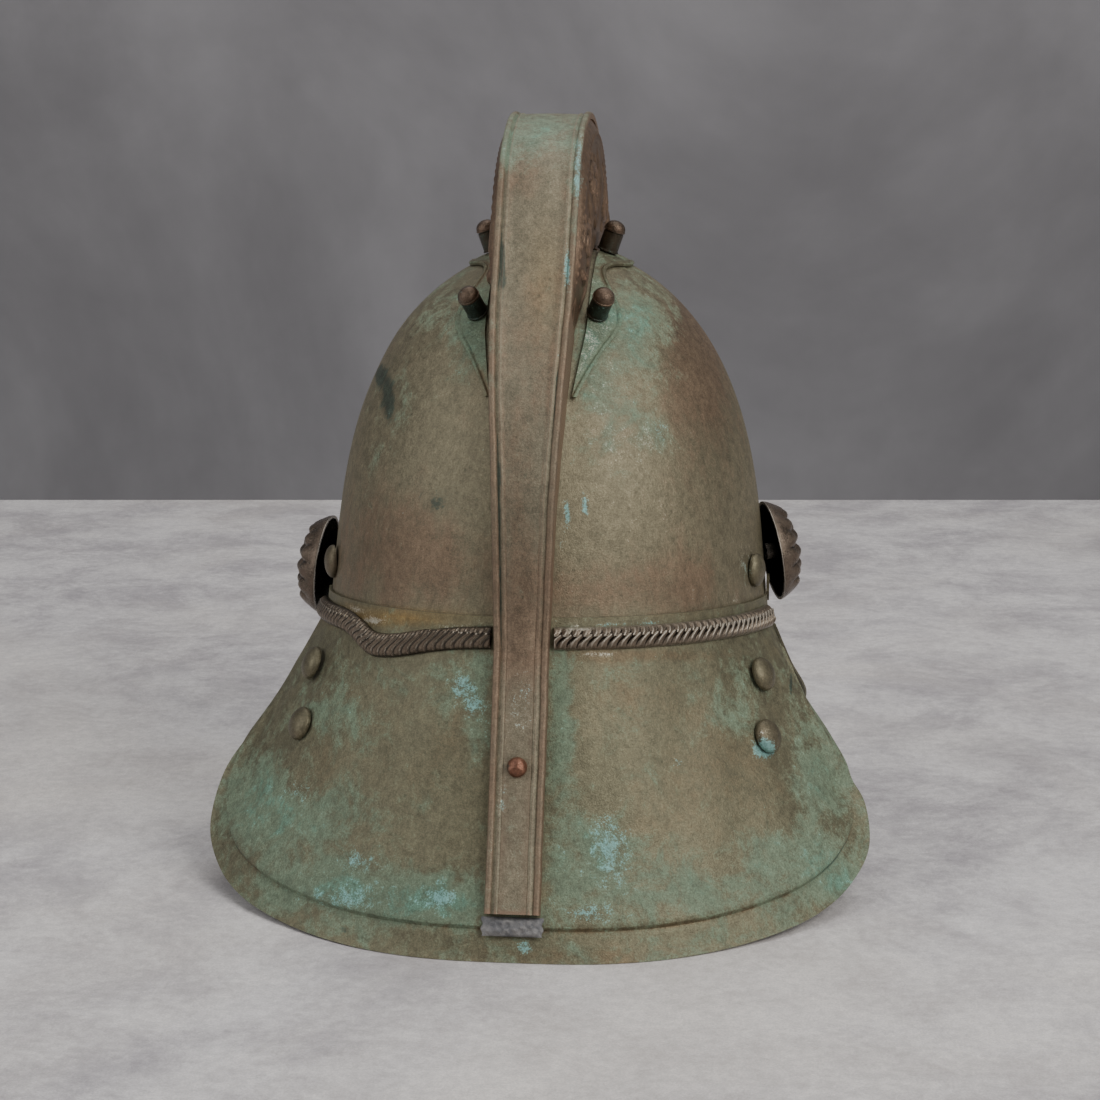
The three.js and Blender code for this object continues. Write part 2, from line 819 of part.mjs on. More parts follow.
function addRosettes() {
  const r = rosetteRadius;
  const domeAt = (share, radius, height) => [radius * Math.sin(share * Math.PI / 2), height * Math.cos(share * Math.PI / 2)];
  const shares = [0.2, 0.42, 0.62, 0.8, 0.93];
  for (const [name, side, height, standOff, turn, tilt] of rosettes) {
    const axis = new THREE.Vector3(side, -Math.tan(radians(turn)), Math.tan(radians(tilt))).normalize();
    const lean = Math.sqrt(1 - axis.x ** 2);
    const reach = shankRadius * Math.abs(axis.x) / lean;
    const corner = skullBeside(-rosetteForward + reach * axis.y, height + reach * axis.z);
    const out = corner + seatGap + shankRadius * lean;
    const seat = new THREE.Vector3(side * out, -rosetteForward, height);
    const shape = [
      [0, 0],
      [shankRadius, 0],
      [shankRadius, standOff + rosetteDome - rosetteWall * 1.8],
      ...shares.map((s) => domeAt(s, r - rosetteWall, rosetteDome - rosetteWall))
        .filter(([x]) => x > shankRadius + rosetteWall)
        .map(([x, z]) => [x, z + standOff]),
      [r - rosetteWall, standOff],
      [r, standOff],
      ...shares.slice().reverse().map((s) => domeAt(s, r, rosetteDome)).map(([x, z]) => [x, z + standOff]),
      [0, standOff + rosetteDome],
    ];
    addTurned(name, lathe(shape, 16), dark, seat, axis);
  }
}

function domedHead(radius, height) {
  return lathe([
    [0, 0],
    [radius, 0],
    [radius * 0.93, height * 0.4],
    [radius * 0.6, height * 0.85],
    [0, height],
  ], 12);
}

// Height of a flat seat of a radius over the round wall under it
function seatOver(radius) {
  return seatGap + radius ** 2 / skullWidth;
}

// Two rivets at each side of the neck guard. columns: share of its edge, down
const guardRivets = [
  [0.768, 0.2],
  [0.746, 0.4],
];

function addHeads() {
  const angle = Math.PI / 2 - Math.asin(2 * studSetback / skullLength);
  for (const [name, side] of [['left', -1], ['right', 1]]) {
    const seat = onSkullWall(angle, studHeight, seatOver(studRadius));
    const out = onSkullWall(angle, studHeight, 1 + seatOver(studRadius)).sub(seat).normalize();
    const across = new THREE.Vector3(side, 1, 1);
    addTurned(`side_stud_${name}`, domedHead(studRadius, studDome), dark, seat.multiply(across), out.multiply(across));
    guardRivets.forEach(([share, down], i) => {
      const onSide = side > 0 ? share : 1 - share;
      const normal = guardNormal(onSide, down);
      const foot = onGuard(onSide, down, guardRimStep).addScaledVector(normal, seatOver(studRadius));
      addTurned(`peak_rivet_${name}_${i + 1}`, domedHead(studRadius, studDome), dark, foot, normal);
    });
  }
  const station = guardStation(stripRivetShare);
  const seat = station.crest.clone().addScaledVector(station.normal, -ridgeBead * 0.5 + seatGap);
  addTurned('strip_rivet', domedHead(stripRivetRadius, studDome * 0.9), copper, seat, station.normal);
}

// Lead patch that holds the strip's lower end to the rim
function addPatch() {
  const half = ridgeTailWidth / 2 + 1;
  const from = ridgeEndShare + 0.008;
  const to = from + patchLength / guardDrop;
  const rows = range(2, from, to);
  const cols = [-1, -0.5, 0, 0.5, 1];
  const grid = (lift) => rows.map((down, i) => cols.map((c) => {
    const crown = lift * (1 - 0.25 * Math.abs(c)) * (i === 1 ? 1 : 0.7);
    const p = onGuard(0.5, down, guardRimStep + seatGap + crown);
    return standing(p.setX(c * half));
  }));
  add('solder_patch', sheet(grid(patchThickness), grid(0)), lead);
}

// Small pointed tongue that hangs behind the right rosette
function addTongue() {
  const outline = new THREE.Shape([
    new THREE.Vector2(-tongueWidth / 2, 0),
    new THREE.Vector2(tongueWidth / 2, 0),
    new THREE.Vector2(tongueWidth / 2, -tongueLength * 0.6),
    new THREE.Vector2(0, -tongueLength),
    new THREE.Vector2(-tongueWidth / 2, -tongueLength * 0.6),
  ]);
  const geometry = new THREE.ExtrudeGeometry(outline, { depth: tongueThickness, bevelEnabled: false });
  geometry.rotateX(Math.PI / 2);
  geometry.rotateZ(Math.PI / 2);
  const top = studHeight - tongueWidth;
  const out = skullBeside(tongueSetback, top - tongueLength) + seatGap;
  const mesh = add('strap_tongue', geometry, dark);
  mesh.position.copy(standing(new THREE.Vector3(out, tongueSetback, top)));
}

addSkull();
addRearPeak();
addFrontPeak();
addRidge();
addCombSides();
addFeet();
addPosts();
addRopes();
addFrontBand();
addRosettes();
addHeads();
addPatch();
addTongue();

// Origin under the middle of the whole, on the surface it stands on
helmet.updateMatrixWorld(true);
const box = new THREE.Box3().setFromObject(helmet, true);
const middle = box.getCenter(new THREE.Vector3());
helmet.position.set(-middle.x, -middle.y, -box.min.z);

export default helmet;
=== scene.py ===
# Brass firefighter helmet, seen from behind on a pale table.
# The shape functions work in millimetres in the helmet's own frame: x to the right,
# u backwards and h up from the joint of skull and peaks. Meshes are in metres in the
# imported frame, where the helmet stands on its peaks.

import json
from math import asin, atan2, cos, pi, radians, sin

import bmesh
import bpy
import numpy as np
from mathutils import Matrix, Vector

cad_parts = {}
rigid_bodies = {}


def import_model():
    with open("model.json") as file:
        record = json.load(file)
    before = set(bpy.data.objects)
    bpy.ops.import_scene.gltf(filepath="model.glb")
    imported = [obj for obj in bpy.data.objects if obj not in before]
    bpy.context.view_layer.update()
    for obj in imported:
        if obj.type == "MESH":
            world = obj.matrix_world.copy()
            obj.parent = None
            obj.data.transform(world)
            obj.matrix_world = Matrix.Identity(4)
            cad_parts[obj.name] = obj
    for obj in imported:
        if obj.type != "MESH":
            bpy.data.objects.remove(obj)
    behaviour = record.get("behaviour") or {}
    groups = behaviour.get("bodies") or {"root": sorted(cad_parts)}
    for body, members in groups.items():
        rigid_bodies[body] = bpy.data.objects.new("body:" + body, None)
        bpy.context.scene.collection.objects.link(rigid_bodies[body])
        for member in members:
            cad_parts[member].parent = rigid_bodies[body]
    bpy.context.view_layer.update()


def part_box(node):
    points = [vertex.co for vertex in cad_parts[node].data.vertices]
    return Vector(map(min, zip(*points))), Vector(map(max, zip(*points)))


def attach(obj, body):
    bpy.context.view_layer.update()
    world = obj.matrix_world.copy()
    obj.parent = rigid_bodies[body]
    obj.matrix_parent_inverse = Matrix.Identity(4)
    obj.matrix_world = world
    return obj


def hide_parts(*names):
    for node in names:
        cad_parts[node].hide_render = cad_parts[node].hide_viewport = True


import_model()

MM = 0.001
SIDES = (("left", -1), ("right", 1))

# Skull
SKULL_WIDTH = 185.0
SKULL_LENGTH = 214.0
SKULL_HEIGHT = 151.5
SKULL_WALL = 0.9
SKULL_LAP = 4.0
DOME_FULLNESS = 2.45
BASE_TAPER = 0.16
HUB_HEIGHT = 60.0

# Peaks
GUARD_REACH = 137.0
GUARD_SPAN = 270.0
GUARD_DROP = 120.0
GUARD_WALL = 0.9
GUARD_LAP = 7.0
GUARD_BOW = 3.0
GUARD_RIM_WIDTH = 12.0
GUARD_RIM_STEP = 1.6
GUARD_RIM_RAMP = 1.6
RIM_SHARE = 0.12
STEP_SHARE = 0.14
VISOR_REACH = 163.0
VISOR_SPAN = 226.0
VISOR_DROP = 87.0
VISOR_BOW = 4.0
BOW_LENGTH = 60.0

# Comb, its cap strip and its feet
COMB_RISE = 54.0
COMB_FROM = 36.0
COMB_TO = 144.0
COMB_PLATE_WALL = 0.9
COMB_BULGE = 3.4
COMB_MOULDING = 1.1
COMB_INSET = 0.6
COMB_TOP_GAP = 0.8
COMB_END_TAPER = 14.0
RELIEF_END_TAPER = 8.0
RELIEF = 1.5
RIDGE_WIDTH = 32.0
RIDGE_TAIL_WIDTH = 21.0
RIDGE_THICKNESS = 1.0
RIDGE_BEAD = 1.3
RIDGE_TAIL_RISE = 4.6
RIDGE_TAIL_FLARE = 0.8
RIDGE_MARGIN = 1.0
RIDGE_LIP = 1.6
SKIRT_GAP = 0.3
RIDGE_END_SHARE = 0.855
FOOT_WIDTH = 12.0
FOOT_LEAST = 1.0
FOOT_WALL = 1.0
FOOT_CLEARANCE = 1.1
FOOT_FLARE = 2.6
FOOT_TAPER = 20.0
FOOT_FROM = 18.0
FOOT_TO = 162.0
POST_RADIUS = 4.5
POST_HEIGHT = 13.0
POST_OFFSET = 23.0
POST_ANGLES = (44, 82, 136)
POST_COLLAR_SHARE = 0.66
POST_COLLAR = 0.8

# Rope band
ROPE_HEIGHT = 9.0
ROPE_DEPTH = 3.4
ROPE_PITCH = 3.85
ROPE_SLANT = 6.0
ROPE_SAG = 7.2
ROPE_LOW_SHARE = 0.345
ROPE_DROP = 1.0
ROPE_EAR_SHARE = 0.075

# Rosettes, studs, rivets and the lead patch
ROSETTE_RADIUS = 21.3
ROSETTE_DOME = 10.5
ROSETTE_WALL = 1.2
ROSETTE_FORWARD = 8.0
SHANK_RADIUS = 3.5
STUD_RADIUS = 6.9
STUD_DOME = 4.2
STUD_HEIGHT = 19.0
STUD_SETBACK = 33.0
STRIP_RIVET_RADIUS = 3.9
STRIP_RIVET_SHARE = 0.41
PATCH_LENGTH = 7.0
PATCH_THICKNESS = 2.4

SEAT_GAP = 0.45
EXTRA_GAP = 0.2
FLOOR_WEAR = 0.5
LAP_LIFT = SEAT_GAP + GUARD_WALL

# Camera and photograph
PHOTO_SIZE = 1100
FOCAL = 2400.0
CAMERA_AZIMUTH = radians(5.5)
CAMERA_ELEVATION = radians(12.0)
CAMERA_DISTANCE = 1.021
CAMERA_TARGET = np.array([0.0, -0.00065, 0.1262])
TABLE_EDGE = 0.774

# Free edge of the neck guard from the rear to the ear, in shares of half the span,
# of the reach and of the drop. Columns: side, back, down
GUARD_EDGE = [
    (0, 1, 1), (0.26, 0.985, 0.998), (0.47, 0.92, 0.988), (0.68, 0.79, 0.962),
    (0.84, 0.645, 0.917), (0.94, 0.5, 0.85), (0.994, 0.365, 0.75), (0.968, 0.285, 0.585),
    (0.9, 0.225, 0.46), (0.81, 0.165, 0.32), (0.725, 0.115, 0.13),
]

# Free edge of the front peak from the tip to the ear, with the same columns
VISOR_EDGE = [
    (0, 1, 1), (0.35, 0.975, 0.985), (0.66, 0.86, 0.92), (0.9, 0.68, 0.78),
    (0.97, 0.46, 0.57), (0.9, 0.26, 0.34), (0.835, 0.13, 0.12),
]

# Rise of the comb over the dome. Columns: angle round the hub, share of the full rise
COMB_PROFILE = [
    (-29, 0.12), (-14, 0.185), (-4, 0.24), (6, 0.27), (16, 0.31), (27, 0.33), (38, 0.38),
    (46, 0.46), (54, 0.61), (64, 0.84), (77, 0.98), (90, 1), (103, 0.94), (116, 0.78),
    (127, 0.57), (137, 0.41), (150, 0.31), (170, 0.26), (190, 0.19), (209, 0.11),
]

# Width of the cap strip. Columns: angle, share from the tail width to the full width
RIDGE_PROFILE = [
    (-29, 0.05), (0, 0.38), (20, 0.75), (40, 1), (140, 1), (165, 0.6), (209, 0.1),
]

# Groove beside the cap strip's bead, in beads. Columns: from the edge, down
RIDGE_GROOVE = [(2.2, 0.6), (2.7, 0.5), (3.1, 0.18), (3.5, 0.2), (4.0, 0.52)]

# Stains round the cap strip's section. Columns: first point, end point, kind, strength
RIDGE_STAINS = [
    (1, 10, 1, 0.45), (-14, -5, 1, 0.45), (10, 11, 2, 0.4), (-15, -14, 2, 0.4),
    (14, 15, 1, 0.3), (-19, -18, 1, 0.3),
]

# Comb side from the crest at 0 to the foot at 1. Columns: share, bulge, moulding
COMB_SIDE = [
    (0, 0, 0), (0.07, 0.3, 1), (0.14, 0.5, 1), (0.18, 0.6, 0), (0.5, 0.95, 0),
    (0.82, 0.8, 0), (0.86, 0.75, 1), (0.94, 0.6, 1), (1, 0.55, 0),
]

# Foot plate's outer edge. Columns: angle, share of its width
FOOT_PROFILE = [
    (18, 0.02), (26, 0.3), (34, 0.62), (40, 0.88), (44, 1), (49, 0.92), (55, 0.62),
    (61, 0.36), (66, 0.3), (71, 0.5), (79, 1), (92, 1), (104, 0.6), (113, 0.3),
    (122, 0.4), (129, 0.8), (136, 1), (146, 0.62), (154, 0.3), (162, 0.02),
]

# How each rosette hangs. Columns: name, side, height, stand-off, turn forward, tilt up
ROSETTES = [("left", -1, 12.6, 6.3, 3, 7), ("right", 1, 22.6, 2.3, 13, 11)]

# Rivets at each side of the neck guard. Columns: share of its edge, down
GUARD_RIVETS = [(0.768, 0.2), (0.746, 0.4)]

# Scrolls of the relief. Columns: angle, size as a share of the height, turns, hand
SCROLLS = [(57, 0.23, 1.2, 1), (76, 0.25, 1.5, 1), (104, 0.25, 1.5, -1), (121, 0.23, 1.2, -1)]

# Leaves of the relief. Columns: angle, size as a share of the height
LEAVES = [(48, 0.2), (66.5, 0.22), (90, 0.34), (113, 0.22), (132, 0.2)]

# Stains by their place in the photograph. Columns: x, y, half width, half height, strength
VERDIGRIS = [
    (440, 300, 45, 45, 0.45), (640, 320, 42, 60, 0.9), (605, 430, 45, 70, 0.6),
    (410, 400, 60, 60, 0.35), (660, 440, 26, 30, 0.5), (380, 480, 30, 60, 0.3), (475, 720, 16, 50, 0.5),
    (300, 820, 60, 26, 0.8), (350, 885, 70, 26, 0.9), (440, 905, 60, 22, 0.7), (260, 790, 24, 40, 0.7),
    (600, 850, 40, 50, 0.7), (815, 780, 24, 60, 0.8), (780, 850, 50, 24, 0.6), (835, 880, 26, 20, 0.7),
    (740, 700, 36, 40, 0.5), (562, 700, 14, 90, 0.7), (560, 880, 12, 40, 0.5), (520, 850, 24, 50, 0.45),
    (440, 690, 40, 30, 0.25), (690, 890, 80, 24, 0.5), (330, 720, 40, 60, 0.45),
    (540, 130, 44, 30, 0.7), (580, 190, 14, 60, 0.6), (505, 150, 12, 40, 0.6), (590, 600, 20, 30, 0.2),
    (470, 340, 24, 60, 0.5), (590, 350, 26, 60, 0.5),
]
UMBER = [
    (705, 400, 40, 110, 0.6), (430, 575, 90, 46, 0.5), (640, 590, 90, 36, 0.7), (420, 760, 80, 70, 0.3),
    (700, 780, 80, 80, 0.45), (650, 690, 60, 30, 0.4), (520, 500, 22, 130, 0.5),
    (520, 180, 26, 30, 0.5), (440, 250, 30, 20, 0.3), (400, 540, 60, 60, 0.5), (540, 330, 30, 80, 0.35),
    (690, 330, 24, 60, 0.7), (620, 655, 110, 7, 0.9), (520, 640, 26, 60, 0.7), (560, 960, 200, 14, 0.5),
]
DARK = [
    (388, 400, 10, 30, 0.8), (378, 372, 8, 12, 0.7), (450, 480, 50, 32, 0.3), (440, 505, 36, 16, 0.35),
    (506, 768, 5, 11, 0.75), (529, 770, 5, 11, 0.75), (503, 268, 3, 32, 0.95), (516, 330, 8, 10, 0.5),
    (770, 742, 14, 20, 0.4), (345, 930, 5, 6, 0.7), (791, 684, 2.0, 14, 0.8), (500, 480, 3, 150, 0.5),
    (556, 420, 4, 160, 0.35), (470, 310, 14, 12, 0.35), (598, 312, 14, 12, 0.35),
    (450, 600, 60, 10, 0.3),
]
TURQUOISE = [
    (585, 506, 4, 9, 1.0), (567, 512, 3, 16, 0.8), (660, 432, 8, 14, 0.5), (567, 268, 4, 26, 0.9),
    (578, 170, 5, 40, 0.6), (462, 686, 16, 12, 0.7), (474, 706, 12, 12, 0.6), (520, 700, 16, 44, 0.42),
    (440, 897, 16, 12, 0.6), (610, 850, 24, 40, 0.5), (590, 915, 20, 10, 0.6), (526, 948, 10, 8, 0.7),
    (765, 748, 11, 12, 1.2), (680, 763, 5, 4, 0.8), (620, 622, 60, 4, 0.6), (745, 570, 8, 24, 0.5),
    (690, 590, 20, 10, 0.2), (505, 800, 6, 30, 0.5), (360, 860, 26, 14, 0.45), (300, 790, 20, 10, 0.4),
    (562, 540, 5, 40, 0.3), (350, 900, 40, 12, 0.4), (738, 520, 6, 20, 0.25),
]
PALE = [
    (520, 710, 16, 50, 0.4), (578, 628, 22, 3, 1.0), (350, 611, 14, 4, 1.2), (372, 621, 14, 4, 1.0),
    (470, 627, 24, 3, 0.8), (600, 380, 30, 70, 0.35), (640, 440, 40, 20, 0.35), (745, 560, 8, 24, 0.5),
    (650, 500, 70, 60, 0.25), (600, 655, 26, 3, 0.8), (735, 600, 20, 8, 0.4), (455, 633, 30, 5, 0.5),
    (500, 800, 5, 70, 0.35), (765, 735, 10, 8, 0.5),
]
WARM = [
    (395, 618, 60, 8, 0.9), (345, 612, 16, 6, 0.6), (545, 280, 20, 60, 0.25),
]

# Dents by their place in the photograph. Columns: x, y, half width, half height, depth
SKULL_DENTS = [
    (388, 404, 16, 40, 1.3), (450, 470, 70, 60, 0.7), (420, 330, 40, 40, -0.5),
    (660, 420, 60, 70, 0.6), (640, 560, 60, 40, 0.5), (570, 420, 20, 90, 0.8),
]
GUARD_DENTS = [
    (848, 782, 16, 15, 2.8), (330, 800, 60, 60, 0.8), (430, 740, 50, 60, -0.7),
    (620, 860, 70, 40, 0.7), (700, 720, 60, 60, 0.8), (780, 840, 50, 50, -0.8),
    (450, 930, 60, 20, -0.6), (690, 945, 60, 16, 0.7), (255, 850, 26, 26, -0.6),
]


def tint(red, green, blue):
    """Linear colour of 8-bit display values"""
    display = np.array([red, green, blue]) / 255
    linear = np.where(display <= 0.04045, display / 12.92, ((display + 0.055) / 1.055) ** 2.4)
    return (*linear.tolist(), 1.0)


def unit(vectors):
    return vectors / np.linalg.norm(vectors, axis=-1, keepdims=True)


def vector(x, u, h):
    return np.stack(np.broadcast_arrays(x, u, h), axis=-1).astype(float)


def smooth_table(rows, place, column=1):
    """Cubic through a table's rows at the places"""
    xs = np.array([row[0] for row in rows], float)
    ys = np.array([row[column] for row in rows], float)
    slopes = np.gradient(ys, 1.0)
    wide = np.concatenate([[xs[1] - xs[0]], (xs[2:] - xs[:-2]) / 2, [xs[-1] - xs[-2]]])
    slopes = slopes / wide
    place = np.clip(place, xs[0], xs[-1])
    k = np.clip(np.searchsorted(xs, place, side="right") - 1, 0, len(xs) - 2)
    span = xs[k + 1] - xs[k]
    t = (place - xs[k]) / span
    first = (2 * t**3 - 3 * t**2 + 1) * ys[k] + (t**3 - 2 * t**2 + t) * span * slopes[k]
    return first + (3 * t**2 - 2 * t**3) * ys[k + 1] + (t**3 - t**2) * span * slopes[k + 1]


def walked_along(points):
    """Distance from the first point to each along a line of points"""
    return np.concatenate([[0], np.cumsum(np.linalg.norm(np.diff(points, axis=0), axis=1))])


def soft_step(value, low, high):
    t = np.clip((value - low) / (high - low), 0, 1)
    return t * t * (3 - 2 * t)


# Dome of the skull

def dome_square(s):
    return (1 - BASE_TAPER * s * (1 - s) ** 2) ** 2 * (1 - np.maximum(s, 0) ** DOME_FULLNESS)


def dome_share(s):
    return np.sqrt(np.maximum(dome_square(s), 0))


def outside_skull(x, u, h):
    return (2 * x / SKULL_WIDTH) ** 2 + (2 * u / SKULL_LENGTH) ** 2 - dome_square(h / SKULL_HEIGHT)


def skull_normal(p):
    e = 0.05
    x, u, h = p[..., 0], p[..., 1], p[..., 2]
    across = outside_skull(x + e, u, h) - outside_skull(x - e, u, h)
    along = outside_skull(x, u + e, h) - outside_skull(x, u - e, h)
    up = outside_skull(x, u, h + e) - outside_skull(x, u, h - e)
    return unit(vector(across, along, up))


def on_skull(angle, x, lift):
    """Points on the dome at angles round the hub, 0 backwards and 90 up"""
    angle, x, lift = np.broadcast_arrays(angle, x, lift)
    back, up = np.cos(np.radians(angle)), np.sin(np.radians(angle))
    low = np.zeros(angle.shape)
    high = np.full(angle.shape, SKULL_LENGTH)
    for _ in range(40):
        r = (low + high) / 2
        out = outside_skull(x, r * back, HUB_HEIGHT + r * up) > 0
        high = np.where(out, r, high)
        low = np.where(out, low, r)
    p = vector(x, low * back, HUB_HEIGHT + low * up)
    return p + skull_normal(p) * np.asarray(lift, float)[..., None]


def on_wall(angle, h, lift):
    """Points on the skull's lower wall, angle round the vertical axis from the rear"""
    share = dome_share(h / SKULL_HEIGHT)
    x = (SKULL_WIDTH / 2 * share + lift) * np.sin(angle)
    u = (SKULL_LENGTH / 2 * share + lift) * np.cos(angle)
    return vector(x, u, h)


def skull_beside(u, h):
    """How far to the side the dome lies at a place backwards and up"""
    return SKULL_WIDTH / 2 * float(np.sqrt(dome_square(h / SKULL_HEIGHT) - (2 * u / SKULL_LENGTH) ** 2))


# Peaks

def edge_curve(rows, span, reach, drop):
    """Dense points along a peak's free edge from ear to ear, and how far along each lies"""
    half = np.array([(s * span / 2, b * reach, -d * drop) for s, b, d in rows])
    points = np.concatenate([half[:0:-1] * (-1, 1, 1), half])
    ends = np.concatenate([[2 * points[0] - points[1]], points, [2 * points[-1] - points[-2]]])
    t = np.linspace(0, 1, 50, endpoint=False)[:, None]
    pieces = []
    for p0, p1, p2, p3 in zip(ends, ends[1:], ends[2:], ends[3:]):
        d0, d1, d2 = (np.linalg.norm(b - a) ** 0.5 for a, b in ((p0, p1), (p1, p2), (p2, p3)))
        m1 = ((p1 - p0) / d0 - (p2 - p0) / (d0 + d1) + (p2 - p1) / d1) * d1
        m2 = ((p2 - p1) / d1 - (p3 - p1) / (d1 + d2) + (p3 - p2) / d2) * d1
        start = (2 * t**3 - 3 * t**2 + 1) * p1 + (t**3 - 2 * t**2 + t) * m1
        pieces.append(start + (3 * t**2 - 2 * t**3) * p2 + (t**3 - t**2) * m2)
    dense = np.concatenate([*pieces, points[-1:]])
    walked = walked_along(dense)
    return dense, walked / walked[-1]


guard_curve = edge_curve(GUARD_EDGE, GUARD_SPAN, GUARD_REACH, GUARD_DROP)
visor_curve = edge_curve(VISOR_EDGE, VISOR_SPAN, VISOR_REACH, VISOR_DROP)


def meridian(curve, share):
    """Where a peak's meridian ends, where it leaves the skull, and its angle"""
    dense, walked = curve
    edge = np.stack([np.interp(share, walked, dense[:, k]) for k in range(3)], axis=-1)
    angle = np.arctan2(edge[..., 0] / SKULL_WIDTH, edge[..., 1] / SKULL_LENGTH)
    return edge, on_wall(angle, 0.0, 0.0), angle


def on_peak(curve, bow, share, down, lift):
    """Points of a peak's outer face, down running from 0 at the joint to 1 at the edge"""
    share, down, lift = np.broadcast_arrays(share, down, lift)
    edge, foot, angle = meridian(curve, share)
    run = edge - foot
    out = vector(np.sin(angle), np.cos(angle), 0 * angle)
    along = np.sum(run * out, axis=-1)
    normal = unit(out * -run[..., 2:] + vector(0 * angle, 0 * angle, along))
    length = np.linalg.norm(run, axis=-1)
    hollow = bow * np.minimum(1, length / BOW_LENGTH) * np.sin(pi * down)
    return foot + run * down[..., None] + normal * (lift - hollow)[..., None]


def on_guard(share, down, lift):
    return on_peak(guard_curve, GUARD_BOW, share, down, LAP_LIFT + lift)


def guard_normal(share, down):
    e = 0.01
    along = on_guard(share + e, down, 0) - on_guard(share - e, down, 0)
    fall = on_guard(share, down + e, 0) - on_guard(share, down - e, 0)
    normal = unit(np.cross(along, fall))
    return np.where(normal[..., 1:2] < 0, -normal, normal)


def rim_of(length):
    """Width of the guard's rim band and the panel's step above it"""
    width = np.minimum(GUARD_RIM_WIDTH, length * RIM_SHARE)
    return width, np.minimum(GUARD_RIM_STEP, width * STEP_SHARE)


def panel_rise(step, down):
    """How far the panel stands up, growing over the first third below the joint"""
    return step * np.minimum(1, down * 3)


def guard_at_height(share, h, lift):
    """Points of the guard's outer face at heights, or of its lap where h is above 0"""
    share, h, lift = np.broadcast_arrays(share, h, lift)
    edge, foot, angle = meridian(guard_curve, share)
    down = np.maximum(-h, 0) / (foot[..., 2] - edge[..., 2])
    _, step = rim_of(np.linalg.norm(edge - foot, axis=-1))
    below = on_guard(share, down, lift + panel_rise(step, down))
    above = on_wall(angle, np.maximum(h, 0), LAP_LIFT + lift)
    return np.where((h > 0)[..., None], above, below)


# From the helmet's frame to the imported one

PITCH = atan2(GUARD_DROP - VISOR_DROP, GUARD_REACH + VISOR_REACH)
LIFT = GUARD_DROP * cos(PITCH) - GUARD_REACH * sin(PITCH) - FLOOR_WEAR


def pitched(p):
    y = -p[..., 1]
    h = p[..., 2]
    return vector(p[..., 0], y * cos(PITCH) + h * sin(PITCH), h * cos(PITCH) - y * sin(PITCH))


REAR_EDGE = pitched(on_guard(0.5, 1.0, 0.0))[..., 1]
SHIFT = float(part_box("rear_peak")[0][1]) / MM - float(REAR_EDGE)


def placed(p):
    """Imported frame, metres; what would reach below the surface is worn flat"""
    q = pitched(p) + (0, SHIFT, LIFT)
    q[..., 2] = np.maximum(q[..., 2], 0)
    return q * MM


# Camera directions and the photograph's pixels

BACK = np.array([
    sin(CAMERA_AZIMUTH) * cos(CAMERA_ELEVATION),
    -cos(CAMERA_AZIMUTH) * cos(CAMERA_ELEVATION),
    sin(CAMERA_ELEVATION),
])
RIGHT = np.array([cos(CAMERA_AZIMUTH), sin(CAMERA_AZIMUTH), 0.0])
UP = np.cross(BACK, RIGHT)


def photo_pixels(points):
    away = points - CAMERA_TARGET
    depth = CAMERA_DISTANCE - away @ BACK
    x = PHOTO_SIZE / 2 + FOCAL * (away @ RIGHT) / depth
    y = PHOTO_SIZE / 2 - FOCAL * (away @ UP) / depth
    return x, y


def spots(table, x, y):
    """Soft sum of a table's spots at the pixels"""
    total = np.zeros(x.shape)
    for cx, cy, rx, ry, strength in table:
        total += strength * np.exp(-(((x - cx) / rx) ** 2) - ((y - cy) / ry) ** 2)
    return total


def dented(points, table):
    """Lift that the dents give each point of an outer face, in millimetres"""
    x, y = photo_pixels(placed(points))
    rear = soft_step(points[..., 1], 0, 25)
    return -spots(table, x, y) * rear


# Meshes

def quads(index):
    corners = (index[:-1, :-1], index[1:, :-1], index[1:, 1:], index[:-1, 1:])
    return np.stack([c.ravel() for c in corners], axis=1)


def closed_sheet(outer, inner):
    """Points and faces of a closed sheet between two grids"""
    rows, cols = outer.shape[:2]
    index = np.arange(rows * cols).reshape(rows, cols)
    border = np.concatenate([index[0], index[1:, -1], index[-1, -2::-1], index[-2:0:-1, 0]])
    after = np.roll(border, -1)
    walls = np.stack([border, after, after + rows * cols, border + rows * cols], axis=1)
    faces = np.concatenate([quads(index), quads(index + rows * cols)[:, ::-1], walls])
    return np.concatenate([outer.reshape(-1, 3), inner.reshape(-1, 3)]), faces


def closed_round(grid):
    """Points and faces of a surface whose columns run all the way round"""
    rows, cols = grid.shape[:2]
    index = np.arange(rows * cols).reshape(rows, cols)
    index = np.concatenate([index, index[:, :1]], axis=1)
    return grid.reshape(-1, 3), quads(index)


def closed_sweep(sections):
    """Points and faces through closed sections, the ends capped"""
    points, faces = closed_round(sections)
    rows, cols = sections.shape[:2]
    caps = [tuple(range(cols))[::-1], tuple(range((rows - 1) * cols, rows * cols))]
    return points, [*faces.tolist(), *caps]


